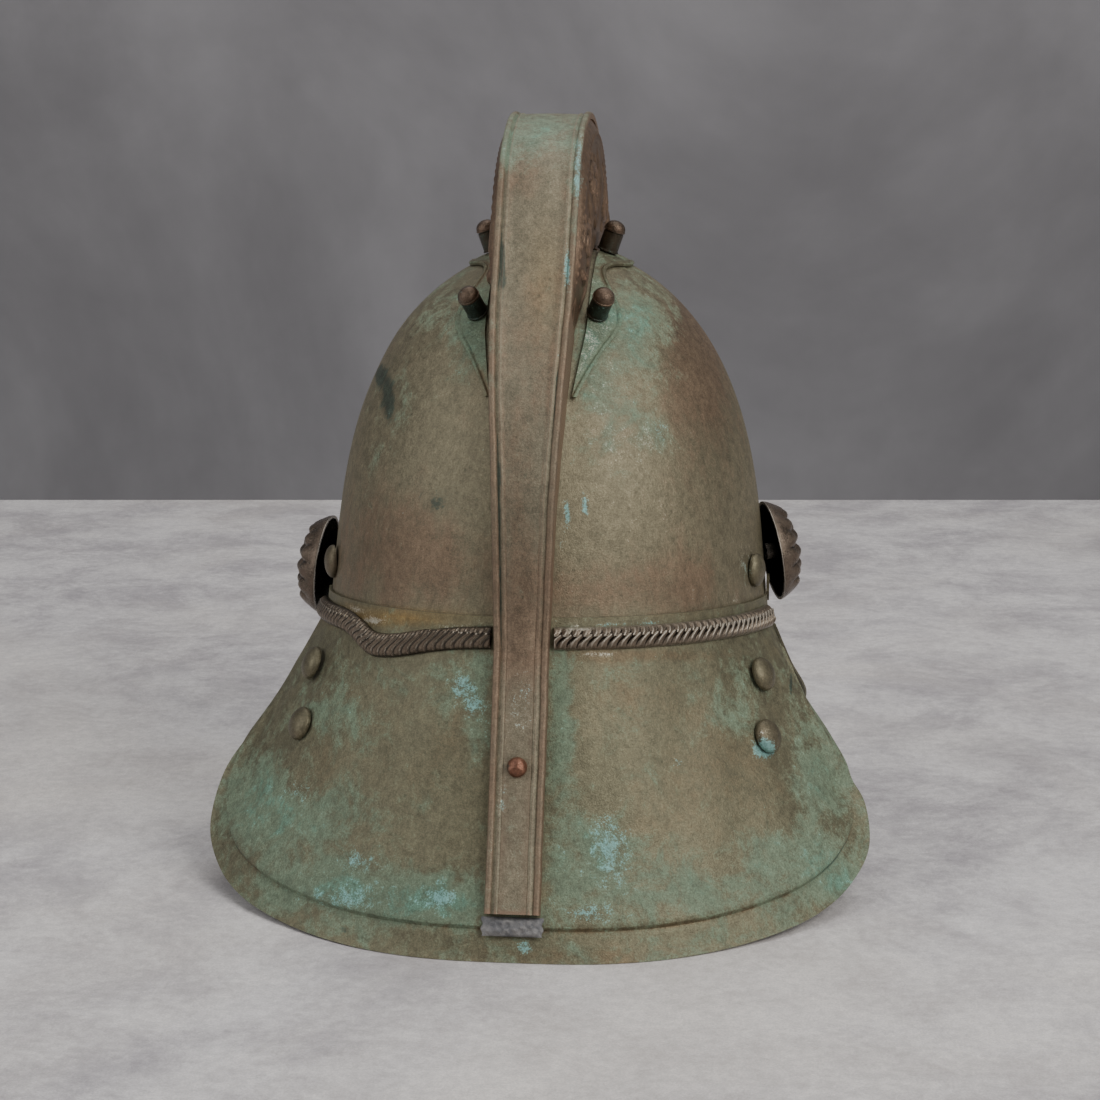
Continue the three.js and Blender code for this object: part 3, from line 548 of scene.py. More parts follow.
def make_piece(name, points, faces, material, nodes, sharp=42, stains=None, salts=None):
    """A closed piece in metres that rides on the body and stands for its nodes

    stains holds verdigris, umber and dark at each point, dark also carrying painted shade in the rosettes'
    hollows; salts holds turquoise, pale and warm
    """
    mesh = bpy.data.meshes.new(name)
    mesh.from_pydata(points.tolist(), [], faces if isinstance(faces, list) else faces.tolist())
    for layer, values in (("patina", stains), ("salts", salts)):
        colours = np.zeros((len(points), 4))
        colours[:, 3] = 1
        if values is not None:
            colours[:, :3] = values
        mesh.attributes.new(layer, "FLOAT_COLOR", "POINT").data.foreach_set("color", colours.ravel())
    work = bmesh.new()
    work.from_mesh(mesh)
    bmesh.ops.remove_doubles(work, verts=work.verts, dist=1e-7)
    bmesh.ops.recalc_face_normals(work, faces=work.faces)
    work.to_mesh(mesh)
    work.free()
    mesh.shade_smooth()
    mesh.set_sharp_from_angle(angle=radians(sharp))
    piece = bpy.data.objects.new(name, mesh)
    bpy.context.scene.collection.objects.link(piece)
    mesh.materials.append(material)
    stain(mesh)
    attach(piece, "root")
    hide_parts(*nodes)


def stain(mesh):
    """Adds the photographed stains to the vertices that face the camera"""
    count = len(mesh.vertices)
    points = np.empty(count * 3)
    normals = np.empty(count * 3)
    mesh.vertices.foreach_get("co", points)
    mesh.vertex_normals.foreach_get("vector", normals)
    points = points.reshape(-1, 3)
    facing = soft_step(normals.reshape(-1, 3) @ BACK, -0.05, 0.2)
    x, y = photo_pixels(points)
    tables = {
        "patina": (VERDIGRIS, UMBER, DARK),
        "salts": (TURQUOISE, PALE, WARM),
    }
    for layer, kinds in tables.items():
        data = mesh.attributes[layer].data
        colours = np.empty(count * 4)
        data.foreach_get("color", colours)
        colours = colours.reshape(-1, 4)
        for k, table in enumerate(kinds):
            colours[:, k] += spots(table, x, y) * facing
        data.foreach_set("color", colours.ravel())


class Shader:
    """A material's nodes, made by short calls"""

    def __init__(self, name):
        self.material = bpy.data.materials.new(name)
        self.material.use_nodes = True
        self.tree = self.material.node_tree
        self.tree.nodes.clear()
        self.surface = self.add("ShaderNodeBsdfPrincipled")
        output = self.add("ShaderNodeOutputMaterial")
        self.tree.links.new(self.surface.outputs[0], output.inputs[0])
        self.place = self.add("ShaderNodeTexCoord").outputs["Object"]

    def add(self, kind):
        return self.tree.nodes.new(kind)

    def set(self, socket, value):
        if isinstance(value, bpy.types.NodeSocket):
            self.tree.links.new(value, socket)
        else:
            socket.default_value = value

    def stretched(self, stretch):
        """The place, drawn out along an axis"""
        node = self.add("ShaderNodeVectorMath")
        node.operation = "MULTIPLY"
        self.set(node.inputs[0], self.place)
        self.set(node.inputs[1], stretch)
        return node.outputs[0]

    def noise(self, scale, detail=4.0, rough=0.6, warp=0.0, stretch=None):
        node = self.add("ShaderNodeTexNoise")
        self.set(node.inputs["Vector"], self.place if stretch is None else self.stretched(stretch))
        self.set(node.inputs["Scale"], scale)
        self.set(node.inputs["Detail"], detail)
        self.set(node.inputs["Roughness"], rough)
        self.set(node.inputs["Distortion"], warp)
        return node.outputs["Fac"]

    def cells(self, scale):
        node = self.add("ShaderNodeTexVoronoi")
        self.set(node.inputs["Vector"], self.place)
        self.set(node.inputs["Scale"], scale)
        return node.outputs["Distance"]

    def math(self, operation, a, b=0.0):
        node = self.add("ShaderNodeMath")
        node.operation = operation
        self.set(node.inputs[0], a)
        self.set(node.inputs[1], b)
        return node.outputs[0]

    def times(self, a, b):
        return self.math("MULTIPLY", a, b)

    def sum(self, *terms):
        total = terms[0]
        for term in terms[1:]:
            total = self.math("ADD", total, term)
        return total

    def swing(self, value, amount):
        """A noise around zero, scaled"""
        return self.times(self.math("SUBTRACT", value, 0.5), amount)

    def between(self, value, low, high, start=0.0, end=1.0):
        node = self.add("ShaderNodeMapRange")
        node.interpolation_type = "SMOOTHSTEP"
        for socket, number in zip(node.inputs, (value, low, high, start, end)):
            self.set(socket, number)
        return node.outputs[0]

    def mix(self, share, a, b):
        node = self.add("ShaderNodeMix")
        node.data_type = "RGBA"
        self.set(node.inputs[0], share)
        self.set(node.inputs[6], a)
        self.set(node.inputs[7], b)
        return node.outputs[2]

    def layer(self, colour, value, low, high, strength, over):
        """Lays a colour over another where a value passes from low to high"""
        return self.mix(self.between(value, low, high, 0.0, strength), colour, over)

    def shade(self, colour, value):
        """Colour times a grey value"""
        node = self.add("ShaderNodeVectorMath")
        node.operation = "SCALE"
        self.set(node.inputs[0], colour)
        self.set(node.inputs["Scale"], value)
        return node.outputs[0]

    def channels(self, layer):
        node = self.add("ShaderNodeAttribute")
        node.attribute_name = layer
        split = self.add("ShaderNodeSeparateColor")
        self.set(split.inputs[0], node.outputs["Color"])
        return split.outputs[0], split.outputs[1], split.outputs[2]

    def edges(self):
        return self.add("ShaderNodeNewGeometry").outputs["Pointiness"]

    def bump(self, height, distance, strength=1.0, under=None):
        node = self.add("ShaderNodeBump")
        self.set(node.inputs["Height"], height)
        self.set(node.inputs["Distance"], distance)
        self.set(node.inputs["Strength"], strength)
        if under is not None:
            self.set(node.inputs["Normal"], under)
        return node.outputs[0]

    def finish(self, colour, metal, rough, normal):
        self.set(self.surface.inputs["Base Color"], colour)
        self.set(self.surface.inputs["Metallic"], metal)
        self.set(self.surface.inputs["Roughness"], rough)
        self.set(self.surface.inputs["Normal"], normal)
        return self.material


AMBER = tint(146, 118, 70)
TEAL = tint(92, 134, 116)
DEEP_GREEN = tint(44, 62, 56)
# Near black, for the heaviest dark stains and for painted shade in the rosettes' hollows
SOOT_AND_SHADE = tint(17, 17, 15)
COPPER_SALT = tint(122, 168, 164)
CHALK = tint(190, 186, 170)
MOSS = tint(66, 70, 54)


def tarnished(s, noises, colours, cover, browning):
    """Metal under brown, verdigris, dark stains, near-black painted shade and salts, and the verdigris
    share
    """
    broad, patchy, mottle, grain, streaks = noises
    metal_colour, brown, green = colours
    verdigris, umber, dark = s.channels("patina")
    turquoise, pale, warm = s.channels("salts")

    value = s.sum(umber, browning, s.swing(broad, 1.3), s.swing(mottle, 1.0), s.swing(streaks, 1.1))
    colour = s.layer(metal_colour, value, 0.1, 0.8, 1.0, brown)
    colour = s.mix(s.times(warm, 0.85), colour, AMBER)

    value = s.sum(verdigris, cover, s.swing(patchy, 2.2), s.swing(mottle, 1.0), s.swing(grain, 0.7))
    green_share = s.between(value, 0.3, 0.85)
    colour = s.mix(s.times(green_share, 0.8), colour, green)
    value = s.sum(verdigris, s.swing(patchy, 2.4), s.swing(mottle, 1.6))
    colour = s.layer(colour, value, 0.8, 1.35, 0.65, TEAL)

    value = s.sum(dark, s.swing(patchy, 1.2), s.swing(mottle, 1.0), s.swing(grain, 0.6))
    colour = s.layer(colour, value, 0.42, 0.7, 0.75, DEEP_GREEN)
    # Where dark passes 1.05 the colour goes near black: the heaviest dark stains, and painted shade in the
    # rosettes' hollows
    colour = s.layer(colour, dark, 1.05, 1.25, 1.0, SOOT_AND_SHADE)

    value = s.sum(turquoise, s.times(verdigris, 0.22), s.swing(mottle, 2.0), s.swing(grain, 1.8))
    colour = s.layer(colour, value, 0.5, 0.8, 0.8, COPPER_SALT)
    value = s.sum(pale, s.swing(mottle, 1.6), s.swing(grain, 2.0))
    return s.layer(colour, value, 0.5, 0.9, 0.7, CHALK), green_share


def patina(name, colours, cover=0.0, browning=0.0, rubbed=None, hollow_dirt_and_shade=None, shine=0.0):
    """Old brass of the colours bare metal, brown and green"""
    s = Shader(name)
    broad = s.noise(17, 6, 0.62, 0.3)
    patchy = s.noise(60, 8, 0.72, 0.5)
    mottle = s.noise(210, 7, 0.74, 0.3)
    grain = s.noise(1500, 5, 0.75)
    brushed = s.noise(800, 5, 0.7, 0.0, (1.0, 1.0, 0.3))
    streaks = s.noise(70, 6, 0.7, 0.2, (1.0, 1.0, 0.22))
    noises = (broad, patchy, mottle, grain, streaks)
    colour, green_share = tarnished(s, noises, colours, cover, browning)

    freckles = s.times(s.between(s.cells(330), 0.34, 0.12), s.between(patchy, 0.46, 0.6))
    colour = s.mix(s.times(freckles, 0.35), colour, MOSS)
    colour = s.shade(colour, s.between(grain, 0.32, 0.68, 0.76, 1.26))
    colour = s.shade(colour, s.between(brushed, 0.3, 0.7, 0.86, 1.12))
    colour = s.shade(colour, s.between(mottle, 0.34, 0.66, 0.8, 1.18))
    colour = s.shade(colour, s.between(broad, 0.25, 0.75, 0.88, 1.1))
    # Hollows, where pointiness is low, are darkened towards the given near-black colour: dirt and painted
    # shade in the crevices
    if hollow_dirt_and_shade is not None:
        colour = s.layer(colour, s.edges(), 0.488, 0.455, 0.8, hollow_dirt_and_shade)
    if rubbed is not None:
        colour = s.layer(colour, s.edges(), 0.512, 0.56, 0.7, rubbed)

    matt = s.sum(s.times(green_share, 0.16), s.swing(mottle, 0.22), 0.5 - shine)
    metal = s.between(green_share, 0.0, 1.0, 0.65 + shine * 0.5, 0.25)
    pits = s.between(s.cells(1100), 0.0, 0.5)
    normal = s.bump(s.sum(patchy, s.times(mottle, 0.5)), 0.0006, 0.5)
    normal = s.bump(s.sum(s.times(grain, 0.8), s.times(pits, 0.25)), 0.00024, 0.8, normal)
    return s.finish(colour, metal, matt, normal)


skull_brass = patina("aged_brass_skull", (tint(122, 115, 93), tint(116, 99, 80), tint(110, 124, 102)),
                     cover=-0.05, browning=0.05)
guard_brass = patina("aged_brass_guard", (tint(112, 108, 86), tint(108, 96, 74), tint(106, 124, 102)),
                     cover=0.12)
rivet_brass = patina("aged_brass_rivet", (tint(104, 98, 78), tint(92, 82, 66), tint(100, 110, 90)),
                     cover=-0.1, browning=0.1, shine=0.1)
strip_brass = patina("aged_brass_strip", (tint(124, 117, 98), tint(118, 101, 83), tint(108, 124, 104)),
                     cover=0.08, rubbed=tint(134, 108, 90))
# Relief, rosettes and rope take a pale colour for rubbed edges and a near-black one for their hollows, the
# latter being dirt and painted shade
relief_brass = patina("aged_brass_relief", (tint(118, 98, 80), tint(100, 80, 64), tint(104, 112, 92)),
                      -0.3, 0.2, tint(176, 142, 118), tint(30, 27, 22), 0.1)
rosette_brass = patina("dark_brass_rosette", (tint(98, 86, 74), tint(84, 70, 60), tint(92, 92, 80)),
                       -0.3, 0.2, tint(156, 146, 134), tint(26, 24, 21), 0.22)
rope_brass = patina("dark_brass_rope", (tint(112, 100, 86), tint(92, 78, 66), tint(112, 116, 102)),
                    -0.2, 0.05, tint(168, 160, 146), tint(24, 22, 19), 0.2)
post_brass = patina("dark_brass_post", (tint(66, 58, 46), tint(98, 80, 66), tint(70, 78, 66)),
                    cover=-0.3, browning=-0.2, shine=0.15)
rivet_copper = patina("copper_rivet", (tint(124, 86, 68), tint(106, 72, 58), tint(104, 112, 92)),
                      cover=-0.4, browning=0.2, rubbed=tint(158, 120, 98), shine=0.15)


def lead_material():
    s = Shader("lead_solder")
    cloud = s.noise(240, 5, 0.7)
    fine = s.noise(1300, 3, 0.7)
    colour = s.mix(s.between(cloud, 0.35, 0.65), tint(96, 96, 98), tint(132, 130, 128))
    colour = s.shade(colour, s.between(fine, 0.3, 0.7, 0.82, 1.15))
    normal = s.bump(s.sum(cloud, s.times(fine, 0.4)), 0.0006, 0.9)
    return s.finish(colour, 0.5, s.between(fine, 0.3, 0.7, 0.45, 0.7), normal)


def table_material():
    s = Shader("pale_table")
    broad = s.noise(3.2, 6, 0.6, 0.6)
    cloud = s.noise(13, 12, 0.78, 0.3)
    fine = s.noise(210, 6, 0.75)
    grit = s.noise(1100, 5, 0.8)
    colour = s.mix(s.between(cloud, 0.36, 0.62), tint(168, 163, 166), tint(212, 208, 207))
    colour = s.mix(s.between(broad, 0.4, 0.7, 0.0, 0.6), colour, tint(220, 213, 205))
    colour = s.shade(colour, s.between(fine, 0.34, 0.66, 0.88, 1.09))
    colour = s.shade(colour, s.between(grit, 0.32, 0.68, 0.84, 1.12))
    normal = s.bump(s.sum(fine, s.times(grit, 0.4)), 0.0008, 0.35)
    return s.finish(colour, 0.0, s.between(cloud, 0.3, 0.7, 0.55, 0.75), normal)


def wall_material():
    s = Shader("grey_wall")
    broad = s.noise(1.4, 6, 0.6, 0.5)
    cloud = s.noise(6, 7, 0.65, 0.3)
    colour = s.mix(s.between(broad, 0.35, 0.68), tint(110, 108, 110), tint(136, 134, 136))
    colour = s.shade(colour, s.between(cloud, 0.3, 0.7, 0.94, 1.06))
    normal = s.bump(cloud, 0.002, 0.3)
    return s.finish(colour, 0.0, 0.9, normal)


# Sheet metal: skull and peaks

def add_skull():
    phi = np.linspace(0, 2 * pi, 240, endpoint=False)[None, :]
    s = np.sin(np.linspace(pi / 2, 0, 110))[:, None]
    h = s * SKULL_HEIGHT

    def shell(inset):
        share = dome_share(s)
        x = np.maximum(SKULL_WIDTH / 2 * share - inset, 0) * np.sin(phi)
        u = np.maximum(SKULL_LENGTH / 2 * share - inset, 0) * np.cos(phi)
        return vector(x, u, h - inset * s**2)

    def lap(inset):
        x = (SKULL_WIDTH / 2 - inset) * np.sin(phi)
        u = (SKULL_LENGTH / 2 - inset) * np.cos(phi)
        return vector(x, u, np.full_like(x, -SKULL_LAP))

    outer = shell(0)
    normal = skull_normal(outer + (0, 0, 1e-4) * (outer[..., 2:] < 1e-3))
    outer = outer + normal * dented(outer, SKULL_DENTS)[..., None]
    inner = shell(SKULL_WALL)
    inner = inner + normal * dented(outer, SKULL_DENTS)[..., None]
    grid = np.concatenate([outer, lap(0), lap(SKULL_WALL), inner[::-1]])
    points, faces = closed_round(placed(grid))
    make_piece("skull_shell", points, faces, skull_brass, ["skull"])


def peak_downs(length):
    """Rows of the neck guard from the joint to the edge and the lift of each"""
    width, step = rim_of(length)
    inset = width / length
    ramp = GUARD_RIM_RAMP / length
    panel = np.linspace(0, 1, 60)[None, :] * (1 - inset - ramp)
    fall = 1 - inset - ramp + ramp * np.linspace(0.25, 1, 4)[None, :]
    rim = 1 - inset + inset * np.linspace(0.08, 1, 12)[None, :]
    down = np.concatenate([panel, fall, rim], axis=1)
    rise = panel_rise(step, down) * (1 - soft_step(down, 1 - inset - ramp, 1 - inset))
    groove = -0.25 * np.exp(-(((down - 1 + inset) * length / 0.9) ** 2))
    roll = 0.55 * np.exp(-(((1 - down) * length / 1.3) ** 2))
    return down, rise + groove + roll


def add_guard():
    share = np.linspace(0, 1, 300)[:, None]
    edge, foot, angle = meridian(guard_curve, share)
    length = np.linalg.norm(edge - foot, axis=-1)
    down, lift = peak_downs(length)
    heights = np.array([[GUARD_LAP, 4.0, 1.5]])
    wave = 0.35 * np.sin(share * 47) * np.sin(down * 5) + 0.25 * np.sin(share * 91 + down * 7)
    lift = lift + wave * np.sin(pi * np.clip(down, 0, 1)) ** 0.5
    dents = dented(on_guard(share, down, lift), GUARD_DENTS)

    def face(inset):
        lap = on_wall(angle, heights, LAP_LIFT - inset)
        return np.concatenate([lap, on_guard(share, down, lift + dents - inset)], axis=1)

    points, faces = closed_sheet(placed(face(0)), placed(face(GUARD_WALL)))
    from_edge = np.concatenate([np.ones((len(share), 3)) * 90, (1 - down) * length], axis=1)
    groove = np.exp(-((from_edge - rim_of(length)[0] - 0.4) ** 2))
    beside = soft_step(np.abs(share - 0.5), 0.2, 0.3)
    band = soft_step(from_edge, 34, 12) * soft_step(from_edge, 8, 14)
    stains = np.zeros((*from_edge.shape, 3))
    stains[..., 0] = 0.1 + 0.25 * band + 0.22 * soft_step(from_edge, 12, 7)
    stains[..., 1] = 0.08 * soft_step(from_edge, 11, 4) + 0.8 * groove
    stains[..., 2] = (0.25 + 0.5 * beside) * groove
    stains = stains.reshape(-1, 3)
    make_piece("neck_guard", points, faces, guard_brass, ["rear_peak"],
               stains=np.concatenate([stains, stains * 0.5]))


def add_visor():
    share = np.linspace(0, 1, 200)[:, None]
    _, _, angle = meridian(visor_curve, share)
    heights = np.array([[GUARD_LAP, 3.5, 0.5]])
    down = np.linspace(0, 1, 50)[None, :]
    roll = 0.5 * np.exp(-(((1 - down) / 0.015) ** 2))

    def face(inset):
        lap = on_wall(angle, heights, LAP_LIFT - inset)
        peak = on_peak(visor_curve, VISOR_BOW, share, down, LAP_LIFT + roll - inset)
        return np.concatenate([lap, peak], axis=1) * (1, -1, 1)

    points, faces = closed_sheet(placed(face(0)), placed(face(GUARD_WALL)))
    make_piece("front_visor", points, faces, guard_brass, ["front_peak"])


# Comb

def dome_station(angle):
    """Crest, outward normal, half width and skirt of the cap strip over the dome"""
    angle = np.asarray(angle, float)
    foot = on_skull(angle, 0.0, 0.0)
    normal = skull_normal(foot)
    rise = COMB_RISE * smooth_table(COMB_PROFILE, angle)
    wide = RIDGE_WIDTH - RIDGE_TAIL_WIDTH
    half = (RIDGE_TAIL_WIDTH + wide * smooth_table(RIDGE_PROFILE, angle)) / 2
    full = rise - RIDGE_THICKNESS - SKIRT_GAP + half**2 / SKULL_WIDTH * 0.8
    in_comb = (angle > COMB_FROM - RIDGE_MARGIN) & (angle < COMB_TO + RIDGE_MARGIN)
    return foot + normal * rise[..., None], normal, half, np.where(in_comb, RIDGE_LIP, full)


def guard_station(down):
    """The same on the neck guard"""
    down = np.asarray(down, float)
    lift = panel_rise(GUARD_RIM_STEP, down)
    foot = on_guard(0.5, down, lift)
    normal = on_guard(0.5, down, lift + 1) - foot
    rise = RIDGE_TAIL_RISE + RIDGE_TAIL_FLARE * (1 - down)
    skirt = rise - RIDGE_THICKNESS - SKIRT_GAP
    return foot + normal * rise[..., None], normal, np.full(down.shape, RIDGE_TAIL_WIDTH / 2), skirt


def ridge_outline(half, skirt):
    """Section of the cap strip: a channel with a rolled bead along each edge"""
    turn = np.radians(np.linspace(175, 20, 9))
    bead_x = -half + RIDGE_BEAD * (1 + np.cos(turn))
    bead_n = -RIDGE_BEAD * 0.5 + RIDGE_BEAD * 0.85 * np.sin(turn)
    groove = [(-half + RIDGE_BEAD * across, -RIDGE_BEAD * down) for across, down in RIDGE_GROOVE]
    crown = [(-half * 0.5, -RIDGE_BEAD * 0.38), (-half * 0.2, -RIDGE_BEAD * 0.3)]
    left = [(-half + 0.05, -RIDGE_THICKNESS - skirt), *zip(bead_x, bead_n), *groove, *crown]
    right = [(-x, n) for x, n in left[::-1]]
    inside = half - RIDGE_THICKNESS
    under = -RIDGE_THICKNESS - RIDGE_BEAD * 0.5
    low = -RIDGE_THICKNESS - skirt
    ends = [(inside, low), (inside, under), (-inside, under), (-inside, low)]
    return np.array([*left, *right, *ends])


def add_ridge():
    near, far = RIDGE_MARGIN - 0.3, RIDGE_MARGIN + 0.3
    angles = np.concatenate([
        np.linspace(203, COMB_TO + far, 60), np.linspace(COMB_TO + near, COMB_FROM - near, 150),
        np.linspace(COMB_FROM - far, -24, 70),
    ])
    downs = np.linspace(0.05, RIDGE_END_SHARE, 70)
    parts = zip(dome_station(angles), guard_station(downs))
    crest, normal, half, skirt = (np.concatenate(pair) for pair in parts)
    wobble = 0.1 * np.sin(np.arange(len(half)) * 0.11) + 0.05 * np.sin(np.arange(len(half)) * 0.43)
    sections = []
    for k in range(len(half)):
        outline = ridge_outline(half[k] + wobble[k] * 0.6, max(skirt[k], 0.8))
        section = crest[k] + outline[:, 1:] * normal[k]
        section[:, 0] = outline[:, 0] + wobble[k] * 0.5
        sections.append(section)
    points, faces = closed_sweep(placed(np.array(sections)))
    ring = np.zeros((outline.shape[0], 3))
    for start, end, kind, strength in RIDGE_STAINS:
        ring[start:end, kind] = strength
    make_piece("comb_cap_strip", points, faces, strip_brass, ["comb_ridge"],
               sharp=50, stains=np.tile(ring, (len(sections), 1)))


def on_comb(angle, share, bulge, moulding, lift):
    """Points of the comb's right side plate in the helmet's frame"""
    crest, normal, half, _ = dome_station(angle)
    ends = np.minimum(1, np.minimum(angle - COMB_FROM, COMB_TO - angle) / COMB_END_TAPER)
    start = crest - normal * (RIDGE_THICKNESS + COMB_TOP_GAP + 2.5 * SEAT_GAP)
    x = half - COMB_INSET + ends * (COMB_BULGE * bulge + COMB_MOULDING * moulding) + lift
    foot = on_skull(angle, x, SEAT_GAP * 1.6)
    u = start[..., 1] + (foot[..., 1] - start[..., 1]) * share
    h = start[..., 2] + (foot[..., 2] - start[..., 2]) * share
    return vector(x, u, h)


def curve_relief(u, h, line, width):
    """Round ridge along a line of points, as a share of its height"""
    gap = np.full(u.shape, 1e9)
    for lu, lh in line:
        gap = np.minimum(gap, np.hypot(u - lu, h - lh))
    return np.sqrt(np.maximum(1 - (gap / width) ** 2, 0))


def leaf_relief(u, h, centre, size, lean):
    """A pointed leaf with a vein"""
    du = u - centre[0]
    dh = h - centre[1]
    along = (du * sin(lean) + dh * cos(lean)) / size
    across = (du * cos(lean) - dh * sin(lean)) / (size * 0.42)
    body = np.clip(1 - along**2, 0, 1)
    dome = np.sqrt(np.clip(body**2 - across**2, 0, 1))
    return dome * (1 - 0.35 * np.exp(-((across / 0.16) ** 2)))


def comb_middle(angle):
    """Point halfway down the side plate"""
    return on_comb(np.array(float(angle)), 0.5, 0.95, 0.0, 0.0)


def comb_height(angle):
    crest, foot = (on_comb(np.array(float(angle)), share, 0.0, 0.0, 0.0) for share in (0.0, 1.0))
    return float(np.linalg.norm(crest - foot))


def scroll_relief(u, h, angle, size, turns, hand):
    """A spiral with five leaves round it"""
    centre = comb_middle(angle)
    reach = size * comb_height(angle)
    t = np.linspace(0, 1, 70)
    r = reach * (1 - 0.8 * t)
    swing = t * turns * 2 * pi
    line = np.stack([centre[1] + hand * r * np.cos(swing), centre[2] + r * np.sin(swing)], axis=1)
    relief = curve_relief(u, h, line, 1.7) * RELIEF
    for k in range(5):
        out = k * 0.9 + 0.4
        tip = (centre[1] + hand * 1.25 * reach * cos(out), centre[2] + 1.25 * reach * sin(out))
        leaf = leaf_relief(u, h, tip, reach * 0.4, atan2(hand * cos(out), sin(out)))
        relief = np.maximum(relief, leaf * 1.1)
    return relief


def comb_relief(angle, share, base):
    """Scrolls, leaves and a row of beads on the side plate, in millimetres"""
    u, h = base[..., 1], base[..., 2]
    relief = np.zeros(u.shape)
    for scroll in SCROLLS:
        relief = np.maximum(relief, scroll_relief(u, h, *scroll))
    for place, size in LEAVES:
        leaf = leaf_relief(u, h, comb_middle(place)[1:], size * comb_height(place), radians(90 - place))
        relief = np.maximum(relief, leaf * RELIEF * 1.2)
    beads = np.sin(np.radians(angle) * 95) ** 2 * np.exp(-(((share - 0.105) / 0.02) ** 2))
    return relief * soft_step(share, 0.15, 0.2) * soft_step(share, 0.86, 0.8) + 0.45 * beads


def add_comb_sides():
    angle = np.linspace(COMB_FROM, COMB_TO, 300)[:, None]
    share = np.linspace(0, 1, 110)[None, :]
    bulge = smooth_table(COMB_SIDE, share, 1)
    moulding = smooth_table(COMB_SIDE, share, 2)
    ends = np.minimum(1, np.minimum(angle - COMB_FROM, COMB_TO - angle) / RELIEF_END_TAPER)
    base = on_comb(angle, share, bulge, moulding, 0.0)
    lift = comb_relief(angle, share, base) * ends
    outer = on_comb(angle, share, bulge, moulding, lift)
    inner = on_comb(angle, share, bulge, 0.0, -COMB_PLATE_WALL)
    for word, side in SIDES:
        points, faces = closed_sheet(placed(outer * (side, 1, 1)), placed(inner * (side, 1, 1)))
        make_piece(f"comb_side_{word}", points, faces, relief_brass, [f"comb_{word}"],
                   sharp=60)


def add_feet():
    angle = np.linspace(FOOT_FROM + 1, FOOT_TO - 1, 300)[:, None]
    t = np.linspace(0, 1, 30)[None, :]
    ends = np.minimum(1, np.minimum(angle - FOOT_FROM, FOOT_TO - angle) / FOOT_TAPER)
    start = dome_station(angle)[2] + FOOT_FLARE * ends + FOOT_CLEARANCE
    width = FOOT_LEAST + FOOT_WIDTH * smooth_table(FOOT_PROFILE, angle)
    from_edge = (1 - t) * width
    bead = 0.4 * np.exp(-(((from_edge - 0.9) / 0.55) ** 2))
    bead -= 0.3 * np.exp(-(((from_edge - 1.9) / 0.4) ** 2))
    stipple = 0.15 * np.sin(angle * 5.2) * np.sin(t * width * 3.4) * soft_step(from_edge, 3, 4.5)
    inner_part = soft_step(from_edge, 2, 4).ravel()
    stains = np.zeros((from_edge.size, 3))
    stains[:, 0] = 0.2 * inner_part
    stains[:, 1] = 0.9 * np.exp(-(((from_edge.ravel() - 1.9) / 0.6) ** 2))
    stains[:, 2] = 0.45 * np.exp(-(((from_edge.ravel() - 1.9) / 0.5) ** 2))
    salts = np.zeros(stains.shape)
    salts[:, 1] = 0.28 * inner_part
    for word, side in SIDES:
        x = side * (start + width * t)
        outer = on_skull(angle, x, SEAT_GAP + FOOT_WALL + bead + stipple)
        inner = on_skull(angle, x, SEAT_GAP)
        points, faces = closed_sheet(placed(outer), placed(inner))
        make_piece(f"foot_plate_{word}", points, faces, guard_brass, [f"comb_foot_{word}"],
                   stains=np.tile(stains, (2, 1)), salts=np.tile(salts, (2, 1)))


# Turned pieces

def turned(name, profile, foot, axis, material, nodes, segments=40, relief=None, relief_from=0,
           stain_and_shade_rows=None):
    """A turned piece on a foot point, its profile's columns being radius and height"""
    foot = placed(foot)
    axis = unit(pitched(axis))
    side = unit(np.cross(axis, (0.0, 0.0, 1.0) if abs(axis[2]) < 0.9 else (1.0, 0.0, 0.0)))
    other = np.cross(axis, side)
    turn = np.linspace(0, 2 * pi, segments, endpoint=False)
    radius = np.array([r for r, _ in profile])[:, None]
    height = np.array([z for _, z in profile])[:, None] * np.ones(segments)
    if relief is not None:
        height[relief_from:] += relief(radius[relief_from:], turn[None, :])
    ring = side * np.cos(turn)[:, None] + other * np.sin(turn)[:, None]
    grid = foot + radius[..., None] * MM * ring[None] + height[..., None] * MM * axis
    points, faces = closed_round(grid)
    stains = None if stain_and_shade_rows is None else np.repeat(np.array(stain_and_shade_rows, float), segments, axis=0)
    make_piece(name, points, faces, material, nodes, stains=stains)


def seat_over(radius):
    return SEAT_GAP + radius**2 / SKULL_WIDTH


def head_profile(radius, dome):
    """Domed head: a short wall and an elliptic top"""
    turn = np.radians(np.linspace(0, 90, 12))
    top = [(radius * cos(a), dome * (0.14 + 0.86 * sin(a))) for a in turn]
    return [(0, 0), (radius * 0.99, 0), *top]


def post_profile():
    """Waisted shaft under a collar and a dome"""
    collar = POST_HEIGHT * POST_COLLAR_SHARE
    shaft = POST_RADIUS * 0.93
    top = collar + POST_COLLAR
    dome_foot = top + 0.1
    turn = np.radians(np.linspace(0, 90, 9))
    dome = [(POST_RADIUS * 0.96 * cos(a), dome_foot + (POST_HEIGHT - dome_foot) * sin(a)) for a in turn]
    return [
        (0, 0), (POST_RADIUS, 0), (POST_RADIUS, 0.5), (shaft, 0.8), (shaft, collar - 0.6),
        (shaft * 0.93, collar - 0.3), (shaft * 0.93, collar), (POST_RADIUS, collar + 0.1),
        (POST_RADIUS, top), *dome,
    ]


